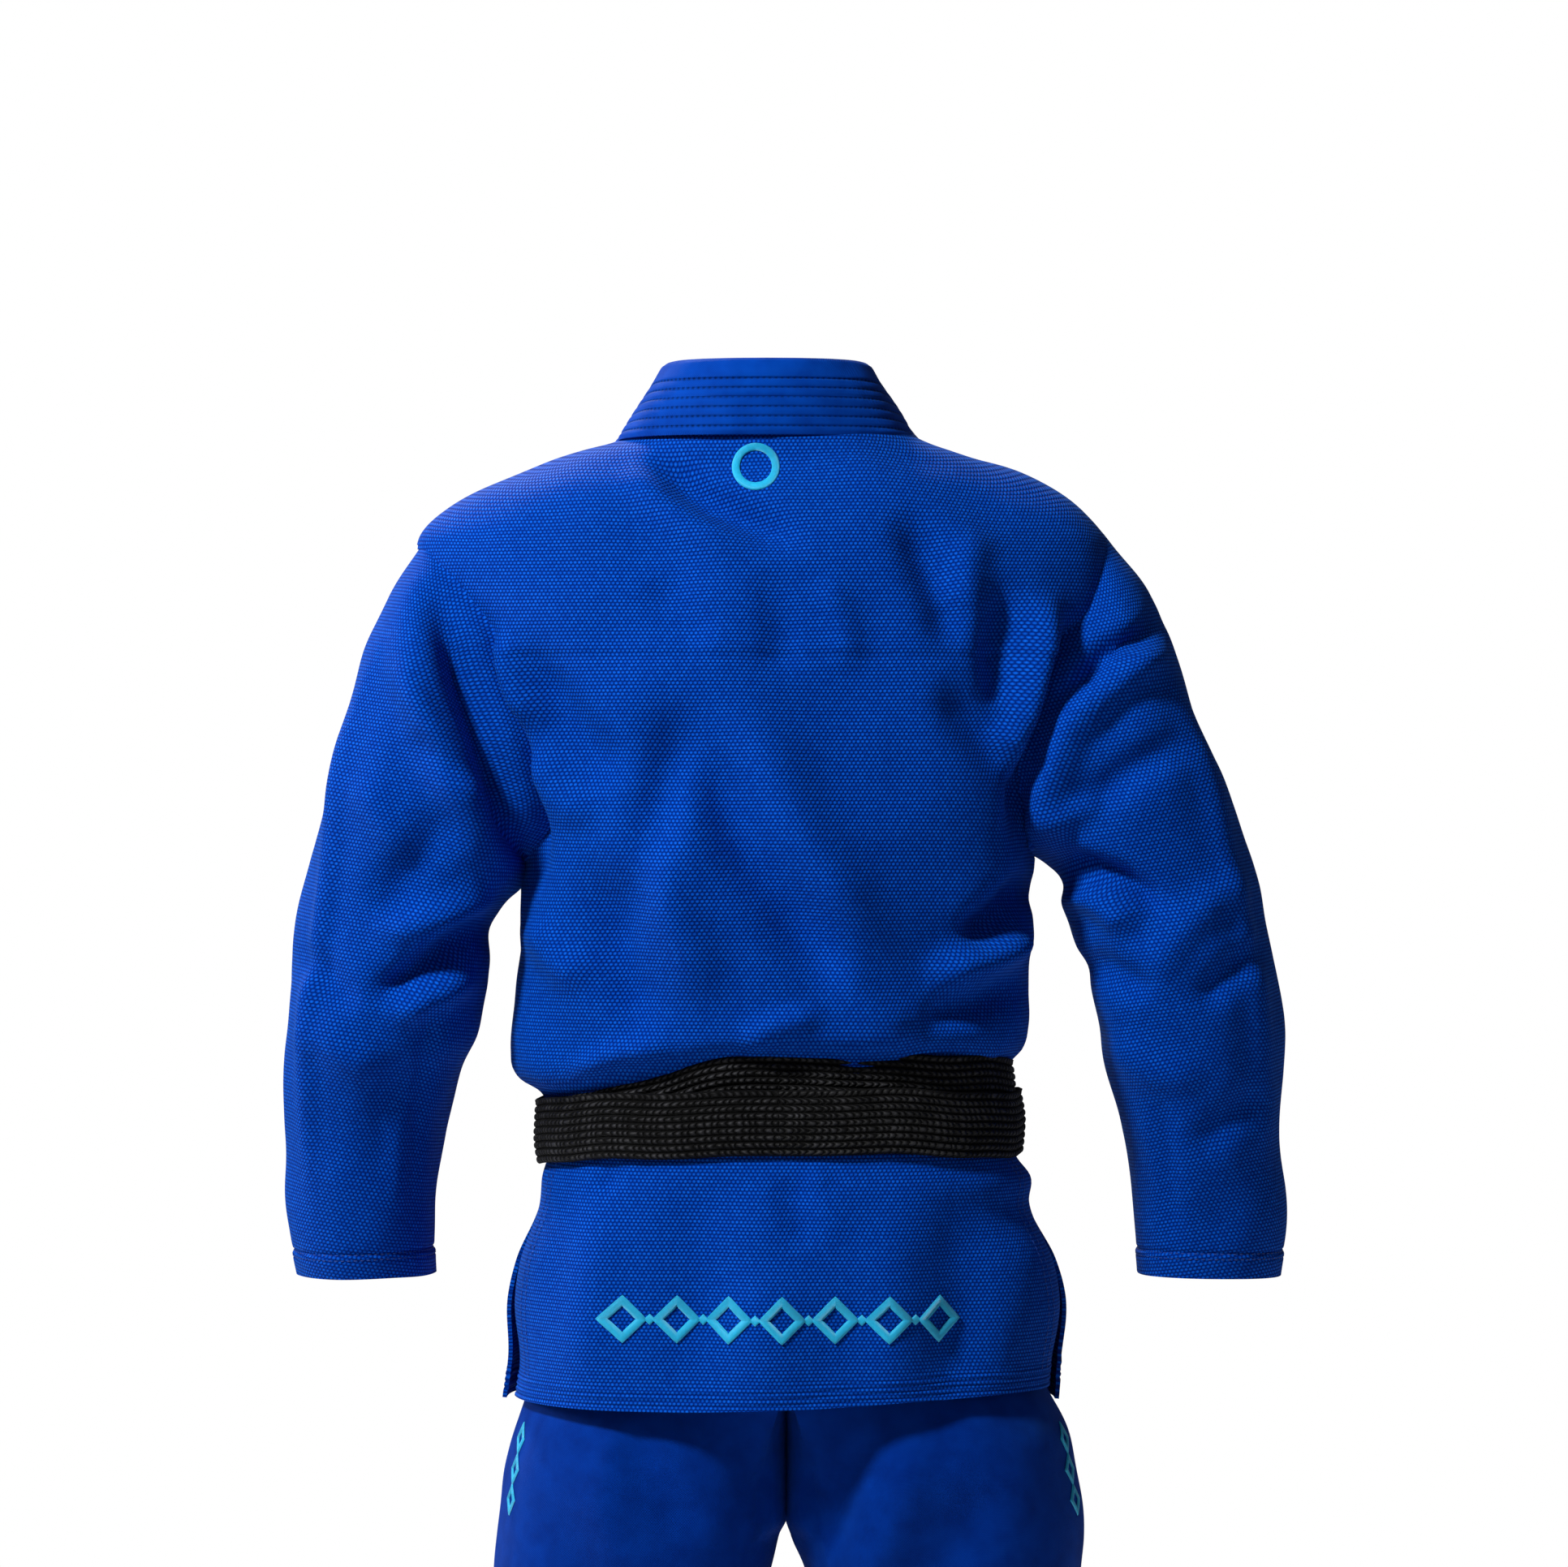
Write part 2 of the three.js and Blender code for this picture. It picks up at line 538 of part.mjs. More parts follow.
const waistbandMid = (WAISTBAND_TOP_Z + WAISTBAND_BOTTOM_Z) / 2;
const eyeletY = bodyPoint(HIPS, 180, waistbandMid, 0).y;
const outlet = (side) =>
  alongY(new THREE.CylinderGeometry(EYELET.inner, EYELET.inner, 20, 16), side.sign * EYELET.x, eyeletY, waistbandMid);
const band = bodyRing(HIPS, [WAISTBAND_TOP_Z, WAISTBAND_BOTTOM_Z], 32, 0, WAISTBAND_THICKNESS);
add("waistband", cut(band, ...SIDES.map(outlet)), TROUSER_BLUE);

for (const side of SIDES) {
  const profile = [
    [EYELET.inner, 0],
    [EYELET.outer, 0],
    [EYELET.outer, EYELET.thickness],
    [EYELET.inner, EYELET.thickness],
    [EYELET.inner, 0],
  ].map(([r, h]) => new THREE.Vector2(r, h));
  const washer = alongY(new THREE.LatheGeometry(profile, 16), side.sign * EYELET.x, eyeletY - 2.4, waistbandMid);
  add(`${side.name}_drawcord_eyelet`, washer, EYELET_STEEL);
}

// Each belt loop bridges the waistband in front, with room behind it for a cord.
const LOOP = { width: 14, height: 36, thickness: 2, rise: 5 };
for (const side of SIDES) {
  const atX = (x, z, out) => bodyPoint(HIPS, frontAngle(HIPS, x, z), z, out);
  const grid = (extra) =>
    [-1, -0.85, -0.55, 0.55, 0.85, 1].map((h) => {
      const out = 0.4 + LOOP.rise * (Math.abs(h) < 0.6 ? 1 : Math.abs(h) < 0.9 ? 0.15 : 0) + extra;
      const z = waistbandMid + (h * LOOP.height) / 2;
      return [-0.5, 0.5].map((u) => atX(side.sign * 58 + u * LOOP.width, z, out));
    });
  add(`${side.name}_belt_loop`, skin(grid(LOOP.thickness), grid(0)), TROUSER_BLUE);
}

// ---- trousers: seat ----
const SEAT_HEIGHTS = [SEAT_BOTTOM_Z, -640, -590, -540, WAISTBAND_BOTTOM_Z - SEAM_GAP];
add("seat_back", panel(HIPS, SEAT_HEIGHTS, () => [-90 + seam, 90 - seam], 14, 0, DRILL), TROUSER_BLUE);
add("seat_front", panel(HIPS, SEAT_HEIGHTS, () => [90 + seam, 270 - seam], 14, 0, DRILL), TROUSER_BLUE);

// The gusset closes the seat between the legs: a lens of cloth from front to back.
const GUSSET_HALF_WIDTH = 22;
function makeGusset() {
  const ends = [bodyPoint(HIPS, 180, SEAT_BOTTOM_Z).y + 3, bodyPoint(HIPS, 0, SEAT_BOTTOM_Z).y - 3];
  const grid = (drop) =>
    span(0, 1, 10).map((t) => {
      const half = 3 + (GUSSET_HALF_WIDTH - 3) * Math.sin(Math.PI * t);
      return [-half, half].map((x) => new THREE.Vector3(x, lerp(ends[0], ends[1], t), SEAT_BOTTOM_Z - drop));
    });
  return skin(grid(0), grid(DRILL));
}
add("crotch_gusset", makeGusset(), TROUSER_BLUE);

// ---- trouser legs ----
const LEG_SIDES = 18;
// A leg ring: angle 0 is its outer side, 90 degrees its back.
function legPoint(side, z, degrees, offset) {
  const s = stationAt(LEG, "z", z);
  const angle = THREE.MathUtils.degToRad(degrees);
  const x = s.x + (s.a + offset) * power(Math.cos(angle), 2 / 2.3);
  return new THREE.Vector3(side.sign * x, s.y + (s.b + offset) * power(Math.sin(angle), 2 / 2.3), z);
}

// Half of the seat's bottom ring, closed along the gusset's edge; it becomes the leg's own ring lower down.
function hipHalfPoint(side, degrees, offset) {
  const signed = degrees > 180 ? degrees - 360 : degrees;
  const z = SEAT_BOTTOM_Z - 0.6;
  if (Math.abs(signed) <= 90) {
    const p = bodyPoint(HIPS, 90 - Math.abs(signed), z, offset);
    const y = signed < 0 ? 2 * stationAt(HIPS, "z", z).y - p.y : p.y;
    const x = Math.max(p.x, 5 - offset);
    return new THREE.Vector3(side.sign * x, y, z);
  }
  const t = (Math.abs(signed) - 90) / 90;
  const half = stationAt(HIPS, "z", z).d - 3 + offset;
  const y = 2 + Math.sign(signed) * half * (1 - t);
  const gussetEdge = 3 + (GUSSET_HALF_WIDTH - 3) * Math.cos((Math.PI / 2) * (y / 113));
  return new THREE.Vector3(side.sign * (gussetEdge + 2.5 - offset), y, z);
}

for (const side of SIDES) {
  const at = (z, degrees, offset) => legPoint(side, z, degrees, offset);
  const part = (heights, outside = 0, thickness = DRILL) => tube(at, heights, LEG_SIDES, outside, thickness);
  const topAt = (t, degrees, offset) => {
    const leg = legPoint(side, CROTCH_Z, degrees, offset);
    return hipHalfPoint(side, degrees, offset).lerp(leg, t);
  };
  const kneeTop = KNEE_Z + KNEE_HALF_SPAN;
  const kneeBottom = KNEE_Z - KNEE_HALF_SPAN;
  const hemTop = TROUSER_HEM_Z + TROUSER_HEM_HEIGHT;
  add(`${side.name}_thigh_top`, tube(topAt, [0, 0.5, 1], LEG_SIDES, 0, DRILL), TROUSER_BLUE);
  add(`${side.name}_thigh`, part([CROTCH_Z - SEAM_GAP, -800, -880, kneeTop]), TROUSER_BLUE);
  add(`${side.name}_knee`, part([kneeTop - SEAM_GAP, KNEE_Z, kneeBottom]), TROUSER_BLUE);
  add(`${side.name}_shin`, part([kneeBottom - SEAM_GAP, -1260, hemTop]), TROUSER_BLUE);
  add(`${side.name}_trouser_hem`, part([hemTop - SEAM_GAP, TROUSER_HEM_Z], 1.2, DRILL + 2.4), TROUSER_BLUE);
}

// A plain raised bar on the outer side of each thigh.
for (const side of SIDES) {
  const grid = (out) => [-745, -770, -795].map((z) => [-8, 0, 8].map((a) => legPoint(side, z, a, out)));
  add(`${side.name}_thigh_bar`, skin(grid(2.4), grid(1.2)), THREAD_CYAN);
}

export default uniform;
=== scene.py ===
# The look of the uniform: jacket, tied belt and trousers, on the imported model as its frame.
# Lengths in the shape code are millimetres; meshes are made in metres. The front faces -Y, the wearer's left is +X.
import math

import bpy
import numpy as np
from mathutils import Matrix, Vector, noise


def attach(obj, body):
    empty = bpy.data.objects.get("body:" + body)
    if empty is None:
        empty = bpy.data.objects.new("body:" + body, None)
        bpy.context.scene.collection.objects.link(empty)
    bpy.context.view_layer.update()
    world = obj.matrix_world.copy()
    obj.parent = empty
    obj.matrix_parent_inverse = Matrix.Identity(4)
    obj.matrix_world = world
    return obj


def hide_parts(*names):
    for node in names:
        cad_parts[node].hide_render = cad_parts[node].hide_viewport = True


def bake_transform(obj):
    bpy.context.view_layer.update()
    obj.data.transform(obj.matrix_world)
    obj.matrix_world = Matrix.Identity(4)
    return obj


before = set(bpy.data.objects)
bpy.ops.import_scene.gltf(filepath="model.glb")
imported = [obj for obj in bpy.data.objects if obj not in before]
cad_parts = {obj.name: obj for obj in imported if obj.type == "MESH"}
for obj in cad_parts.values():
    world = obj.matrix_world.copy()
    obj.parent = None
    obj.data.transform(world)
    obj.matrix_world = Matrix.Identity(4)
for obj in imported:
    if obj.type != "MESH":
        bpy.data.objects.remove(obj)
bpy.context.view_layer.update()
MM = 0.001
SIDES = ((1, "left"), (-1, "right"))

# ---------------------------------------------------------------- camera and light
CAMERA_DISTANCE = 4.6
FRAME_WIDTH = 1.0916
scene = bpy.context.scene
scene.view_settings.view_transform = "Standard"
camera_data = bpy.data.cameras.new("camera")
camera = bpy.data.objects.new("camera", camera_data)
scene.collection.objects.link(camera)
camera.location = (-0.0034, CAMERA_DISTANCE, -0.2405)
camera.rotation_euler = (math.pi / 2, 0, math.pi)
camera_data.sensor_width = 36
camera_data.lens = 36 * CAMERA_DISTANCE / FRAME_WIDTH
scene.camera = camera


def area_light(name, place, target, size, power):
    data = bpy.data.lights.new(name, "AREA")
    data.shape = "DISK"
    data.size = size
    data.energy = power
    lamp = bpy.data.objects.new(name, data)
    scene.collection.objects.link(lamp)
    lamp.location = place
    direction = Vector(target) - Vector(place)
    lamp.rotation_euler = direction.to_track_quat("-Z", "Y").to_euler()


area_light("key", (1.8, 1.75, 1.75), (0, 0.1, -0.25), 0.5, 128)
area_light("fill", (-3.0, 2.6, 0.6), (0, 0, -0.5), 1.6, 3)
area_light("edge", (3.0, -0.5, 0.4), (0.25, 0, -0.3), 0.8, 34)
area_light("front", (1.2, -3.2, 2.8), (0, 0, -0.5), 1.2, 170)

world = bpy.data.worlds.new("studio")
scene.world = world
world.use_nodes = True
tree = world.node_tree
tree.nodes.clear()
out = tree.nodes.new("ShaderNodeOutputWorld")
seen = tree.nodes.new("ShaderNodeBackground")
seen.inputs["Color"].default_value = (1, 1, 1, 1)
seen.inputs["Strength"].default_value = 1.0
ambient = tree.nodes.new("ShaderNodeBackground")
ambient.inputs["Color"].default_value = (1, 1, 1, 1)
ambient.inputs["Strength"].default_value = 0.11
ray = tree.nodes.new("ShaderNodeLightPath")
choose = tree.nodes.new("ShaderNodeMixShader")
tree.links.new(ray.outputs["Is Camera Ray"], choose.inputs["Fac"])
tree.links.new(ambient.outputs[0], choose.inputs[1])
tree.links.new(seen.outputs[0], choose.inputs[2])
tree.links.new(choose.outputs[0], out.inputs["Surface"])


# ---------------------------------------------------------------- materials
WHITE = (1, 1, 1)
BLUE_GLOSS = (0.03, 0.36, 1.0)
GRAIN_LENGTH = 3.0
GRAIN_HEIGHT = 2.45
TWILL_PITCH = 1.15
BELT_ROW = 5.0


class Value:
    """One output of a shader tree. Arithmetic on it adds a node and gives that node's output."""

    def __init__(self, nodes, socket):
        self.nodes = nodes
        self.socket = socket

    def math(self, operation, *others):
        return self.nodes.add("ShaderNodeMath", (self, *others), operation=operation)

    def __add__(self, other):
        return self.math("ADD", other)

    def __sub__(self, other):
        return self.math("SUBTRACT", other)

    def __rsub__(self, other):
        return self.nodes.add("ShaderNodeMath", (other, self), operation="SUBTRACT")

    def __mul__(self, other):
        return self.math("MULTIPLY", other)

    def __truediv__(self, other):
        return self.math("DIVIDE", other)

    def __mod__(self, other):
        return self.math("MODULO", other)

    def __pow__(self, other):
        return self.math("POWER", other)

    def __lt__(self, other):
        return self.math("LESS_THAN", other)

    def __abs__(self):
        return self.math("ABSOLUTE")

    def fract(self):
        return self.math("FRACT")

    def arch(self):
        """Rises from 0 to 1 and falls back to 0 while the value goes from one whole number to the next."""
        return (self * math.pi).math("SINE")

    def remap(self, low, high, to_low, to_high):
        return self.nodes.add("ShaderNodeMapRange", (self, low, high, to_low, to_high))


class Nodes:
    """A small writer of shader nodes for one material."""

    def __init__(self, name):
        self.material = bpy.data.materials.new(name)
        self.material.use_nodes = True
        self.tree = self.material.node_tree
        self.tree.nodes.clear()
        self.shader = self.tree.nodes.new("ShaderNodeBsdfPrincipled")
        end = self.tree.nodes.new("ShaderNodeOutputMaterial")
        self.tree.links.new(self.shader.outputs[0], end.inputs["Surface"])
        self.place = self.add("ShaderNodeTexCoord", output="Object")

    def put(self, socket, value):
        if isinstance(value, Value):
            self.tree.links.new(value.socket, socket)
        else:
            socket.default_value = value

    def add(self, kind, inputs=(), output=0, **settings):
        """Adds one node. Its inputs are given in the order of the sockets, or as a dictionary."""
        node = self.tree.nodes.new(kind)
        for name, value in settings.items():
            setattr(node, name, value)
        for socket, value in inputs.items() if isinstance(inputs, dict) else enumerate(inputs):
            self.put(node.inputs[socket], value)
        return Value(self, node.outputs[output])

    def uv(self):
        """The cloth's own coordinates in millimetres: along the row, and up the piece."""
        split = self.add("ShaderNodeSeparateXYZ", [self.add("ShaderNodeUVMap", uv_map="cloth")])
        return [Value(self, socket) * 1000.0 for socket in split.socket.node.outputs[:2]]

    def noise(self, scale, detail):
        return self.add("ShaderNodeTexNoise", {"Vector": self.place, "Scale": scale, "Detail": detail}, "Fac")

    def cell_value(self, x, y):
        """A random value for each whole-numbered cell."""
        cell = self.add("ShaderNodeCombineXYZ", (x, y))
        return self.add("ShaderNodeTexWhiteNoise", {"Vector": cell}, "Value", noise_dimensions="2D")

    def ramp(self, value, stops):
        colour = self.add("ShaderNodeValToRGB", [value])
        elements = colour.socket.node.color_ramp.elements
        while len(elements) < len(stops):
            elements.new(0.5)
        for element, (at, shade) in zip(elements, stops):
            element.position = at
            element.color = (*shade, 1)
        return colour

    def scaled(self, colour, factor):
        return self.add("ShaderNodeVectorMath", {0: colour, "Scale": factor}, operation="SCALE")

    def bump(self, height, distance, strength, below=None):
        inputs = {"Strength": strength, "Distance": distance, "Height": height}
        if below is not None:
            inputs["Normal"] = below
        return self.add("ShaderNodeBump", inputs)

    def finish(self, colour, roughness, normal, specular, gloss=WHITE, sheen=0.0, sheen_roughness=0.5, sheen_tint=WHITE):
        values = {
            "Base Color": colour, "Roughness": roughness, "Normal": normal,
            "Specular IOR Level": specular, "Specular Tint": (*gloss, 1),
            "Sheen Weight": sheen, "Sheen Roughness": sheen_roughness, "Sheen Tint": (*sheen_tint, 1),
        }
        for name, value in values.items():
            self.put(self.shader.inputs[name], value)
        return self.material


def weave_material(name, dark, middle, light):
    """Rice-grain cotton: rows of small raised ovals, each row shifted half a grain. Each oval's top has a painted
    highlight, with painted shade on the ground between ovals.
    """
    n = Nodes(name)
    u, v = n.uv()
    row_place = v / GRAIN_HEIGHT
    row = row_place.math("FLOOR")
    along = u / GRAIN_LENGTH + abs(row) % 2.0 * 0.5
    across_grain = (along.fract() - 0.5) / 0.50
    up_grain = (row_place.fract() - 0.5) / 0.53
    radius = across_grain * across_grain + up_grain * up_grain
    dome = (1.0 - radius).math("MAXIMUM", 0.0).math("SQRT")
    each = n.cell_value(along.math("FLOOR"), row)
    height = dome * each.remap(0, 1, 0.85, 1.0)
    fading = n.noise(9.0, 4.0)
    threads = n.noise(1100.0, 2.0)
    # painted highlight on each grain's top and painted shade between grains, plus a random tone per grain and per
    # thread
    grain_highlight_and_tone = dome**2.2 * 0.66 + each * dome * 0.2 + threads.remap(0.3, 0.7, -0.04, 0.1)
    colour = n.ramp(grain_highlight_and_tone, [(0.0, dark), (0.45, middle), (0.92, light)])
    colour = n.scaled(colour, fading.remap(0.3, 0.7, 0.94, 1.06))
    normal = n.bump(threads, 0.0001, 0.4, n.bump(height, 0.0009, 0.8))
    return n.finish(colour, dome.remap(0, 1, 0.9, 0.72), normal, 0.12, BLUE_GLOSS, 0.1, 0.35, (0.08, 0.42, 1.0))


def twill_material(name, dark, light, sewn=False):
    """Smooth cotton drill: fine slanting lines with a soft mottle, and the sewn rows of the collar band, with painted
    shade in their grooves.
    """
    n = Nodes(name)
    u, v = n.uv()
    line = abs((u / TWILL_PITCH + v / (TWILL_PITCH * 1.6)).fract() - 0.5)
    mottle = n.noise(60.0, 5.0)
    broad = n.noise(7.0, 3.0)
    colour = n.ramp(line * 0.5 + mottle.remap(0.3, 0.7, 0.2, 0.8), [(0.1, dark), (0.95, light)])
    colour = n.scaled(colour, broad.remap(0.3, 0.7, 0.92, 1.08))
    normal = n.bump(line, 0.0005, 1.0, n.bump(mottle, 0.0008, 0.3))
    if sewn:
        from_row = abs(((v - 2.34) / 6.12).fract() - 0.5)
        near = from_row.remap(0.05, 0.17, 1.0, 0.0) * (v < 39.0)
        dash = abs((u / 4.2).fract() - 0.5).remap(0.1, 0.45, 1.0, 0.0)
        # painted shade: the sewn grooves are coloured darker, most between stitches where the groove is deepest
        colour = n.scaled(colour, 1.0 - near * dash.remap(0, 1, 0.55, 0.1))
        normal = n.bump(near * dash.remap(0, 1, -1.0, -0.35), 0.0012, 0.9, normal)
    return n.finish(colour, 0.8, normal, 0.2, BLUE_GLOSS, 0.07, 0.4, (0.1, 0.4, 1.0))


def belt_material(name):
    """Black cotton sewn in close rows: painted grey highlights on the crowns between the stitches, and painted shade
    in the sewn channels.
    """
    n = Nodes(name)
    u, v = n.uv()
    pucker = abs((u / 5.2 + n.noise(90.0, 2.0) * 1.5).arch())
    crown = (v / BELT_ROW).fract().arch()
    height = crown**0.6 * pucker**0.55
    # painted highlight: grey on the crowns of the puckers, patchy through a noise; painted shade in the channels
    # between them
    crown_highlight = height * n.noise(70.0, 5.0).remap(0.32, 0.7, 0.5, 0.9)
    stops = [(0.0, (0.0002, 0.0002, 0.0003)), (0.45, (0.0016, 0.0016, 0.002)), (0.9, (0.04, 0.04, 0.045))]
    normal = n.bump(n.noise(1400.0, 2.0), 0.0002, 0.5, n.bump(height, 0.0024, 1.0))
    return n.finish(n.ramp(crown_highlight, stops), height.remap(0, 1, 0.85, 0.5), normal, 0.16)


def thread_material(name, base):
    """Satin stitch: close parallel threads with a soft gloss, each thread's crown with a painted highlight and painted
    shade between threads.
    """
    n = Nodes(name)
    u, v = n.uv()
    strand = (u / 0.55).fract().arch()
    mottle = n.noise(400.0, 2.0)
    # each thread is coloured lighter on its crown and darker between threads: painted highlight and painted shade
    colour = n.scaled(base, strand.remap(0, 1, 0.72, 1.05) + mottle.remap(0.3, 0.7, -0.05, 0.08))
    return n.finish(colour, 0.42, n.bump(strand, 0.0003, 0.8), 0.5, WHITE, 0.1, 0.4, (0.8, 0.95, 1.0))


def metal_material(name):
    n = Nodes(name)
    scratch = n.noise(800.0, 3.0)
    n.shader.inputs["Metallic"].default_value = 1.0
    return n.finish((0.55, 0.56, 0.58, 1), scratch.remap(0.3, 0.7, 0.25, 0.45), n.bump(scratch, 0.0001, 0.3), 0.3)


JACKET = weave_material("jacket_weave", (0.0003, 0.017, 0.19), (0.0008, 0.043, 0.37), (0.004, 0.13, 0.74))
COLLAR = twill_material("collar_twill", (0.0003, 0.026, 0.25), (0.0008, 0.053, 0.41), sewn=True)
DRILL = twill_material("trouser_drill", (0.0002, 0.0155, 0.185), (0.0005, 0.033, 0.31))
BELT = belt_material("belt_cotton")
THREAD = thread_material("embroidery_thread", (0.01, 0.52, 0.88))
STITCH = thread_material("blue_thread", (0.003, 0.06, 0.42))
STEEL = metal_material("eyelet_steel")


# ---------------------------------------------------------------- shape tools
def smooth(t):
    t = np.clip(t, 0.0, 1.0)
    return t * t * (3 - 2 * t)


def track(stations, at):
    """Smooth values between given stations. The first number of a station is its key; the rest are returned."""
    rows = np.array(sorted(stations), float)
    keys, values = rows[:, 0], rows[:, 1:]
    slopes = np.gradient(values, keys, axis=0)
    at = np.clip(np.asarray(at, float), keys[0], keys[-1])
    k = np.clip(np.searchsorted(keys, at) - 1, 0, len(keys) - 2)
    span = keys[k + 1] - keys[k]
    t = ((at - keys[k]) / span)[..., None]
    span = span[..., None]
    a, b, da, db = values[k], values[k + 1], slopes[k], slopes[k + 1]
    found = (
        a * (2 * t**3 - 3 * t**2 + 1)
        + da * span * (t**3 - 2 * t**2 + t)
        + b * (3 * t**2 - 2 * t**3)
        + db * span * (t**3 - t**2)
    )
    return [found[..., i] for i in range(found.shape[-1])]


def curve(points, count):
    """Evenly spaced points along a smooth curve through the given ones."""
    points = np.array(points, float)
    steps = np.r_[0, np.cumsum(np.linalg.norm(np.diff(points, axis=0), axis=1))]
    table = [(s, *p) for s, p in zip(steps, points)]
    return np.stack(track(table, np.linspace(0, steps[-1], count)), axis=-1)


FOLD_POINTS = 48
FOLD_END = 0.32


def fold(x, z, path, width, depth, rim):
    """The height of one fold over points (x, z): a groove or ridge along a path, with softer rims beside it.
    It fades out over FOLD_END of its length at each end."""
    line = curve(path, FOLD_POINTS)
    flat_x, flat_z = x.ravel(), z.ravel()
    height = np.zeros(len(flat_x))
    reach = 5 * width
    low, high = line.min(axis=0) - reach, line.max(axis=0) + reach
    close = np.flatnonzero((flat_x > low[0]) & (flat_x < high[0]) & (flat_z > low[1]) & (flat_z < high[1]))
    if not len(close):
        return height.reshape(x.shape)
    dx = flat_x[close][:, None] - line[:, 0]
    dz = flat_z[close][:, None] - line[:, 1]
    nearest = (dx * dx + dz * dz).argmin(axis=1)
    rows = np.arange(len(close))
    dx, dz = dx[rows, nearest], dz[rows, nearest]
    heading = np.gradient(line, axis=0)
    step = np.hypot(heading[:, 0], heading[:, 1])
    heading = (heading / step[:, None])[nearest]
    s = (heading[:, 0] * dz - heading[:, 1] * dx) / width
    t = (nearest + (heading[:, 0] * dx + heading[:, 1] * dz) / step[nearest]) / (FOLD_POINTS - 1)
    taper = smooth(t / FOLD_END) * smooth((1 - t) / FOLD_END)
    profile = (1 + rim) * np.exp(-s * s) - rim * np.exp(-((s / 2.1) ** 2))
    height[close] = depth * taper * profile
    return height.reshape(x.shape)


def folds_at(p, folds, wider=1.0, softer=1.0):
    """The height of a table of folds together. Each one is a path of (x, z), a width, a height and its rims' share."""
    x, z = p[..., 0], p[..., 2]
    return sum(fold(x, z, path, width * wider, depth * softer, rim) for path, width, depth, rim in folds)


def line_at(value, place, width):
    """1 on a thin line at a place along a value, falling to 0 on both sides."""
    return np.exp(-(((value - place) / width) ** 2))


def ripples(points, size, amount, seed):
    """Soft irregular waves over a surface, the same at the same place on every piece."""
    flat = points.reshape(-1, 3) / size
    found = [noise.noise(Vector((p[0] + seed, p[1] - seed, p[2] + 2 * seed))) for p in flat]
    return amount * np.array(found).reshape(points.shape[:-1])


def grid_normals(grid, wrap):
    """Unit normals of a grid of points; wrap says that its last column joins its first."""
    across = (np.roll(grid, -1, 1) - np.roll(grid, 1, 1)) if wrap else np.gradient(grid, axis=1)
    along = np.gradient(grid, axis=0)
    n = np.cross(across, along)
    return n / np.maximum(np.linalg.norm(n, axis=-1, keepdims=True), 1e-9)


def cloth_map(grid, wrap, grain=(0, 0, 1), centre=None):
    """Each grid point's place on the cloth in millimetres: its height along the grain, and how far round it lies from
    the centre column, measured square to the grain."""
    grain = np.array(grain, float) / np.linalg.norm(grain)
    closed = np.concatenate([grid, grid[:, :1]], axis=1) if wrap else grid
    steps = np.diff(closed, axis=1)
    steps = steps - (steps @ grain)[..., None] * grain
    u = np.concatenate([np.zeros((grid.shape[0], 1)), np.cumsum(np.linalg.norm(steps, axis=-1), axis=1)], axis=1)
    c = grid.shape[1] // 2 if centre is None else centre
    u -= u[:, c][:, None]
    heading = steps[:, c] / np.maximum(np.linalg.norm(steps[:, c], axis=-1, keepdims=True), 1e-9)
    travel = ((grid[1:, c] - grid[:-1, c]) * (heading[1:] + heading[:-1]) / 2).sum(axis=-1)
    u += np.r_[0, np.cumsum(travel)][:, None]
    return np.stack([u, closed @ grain], axis=-1)


def strip_map(grid, width):
    """The same for a band: along it, and across its width from the first row to the last."""
    steps = np.linalg.norm(np.diff(grid, axis=1), axis=-1).mean(axis=0)
    u = np.r_[0, np.cumsum(steps)][None, :] * np.ones((grid.shape[0], 1))
    v = np.linspace(0, width, grid.shape[0])[:, None] * np.ones((1, grid.shape[1]))
    return np.stack([u, v], axis=-1)


def make_mesh(name, vertices, faces, uv_of_corner, material):
    """A smooth-shaded object from millimetre points, with the cloth's own coordinates as its UV map."""
    mesh = bpy.data.meshes.new(name)
    mesh.from_pydata((np.asarray(vertices) * MM).tolist(), [], faces)
    layer = mesh.uv_layers.new(name="cloth")
    layer.data.foreach_set("uv", (np.asarray(uv_of_corner, float) * MM).ravel())
    mesh.polygons.foreach_set("use_smooth", [True] * len(mesh.polygons))
    mesh.set_sharp_from_angle(angle=math.radians(60))
    mesh.materials.append(material)
    made = bpy.data.objects.new(name, mesh)
    scene.collection.objects.link(made)
    return made


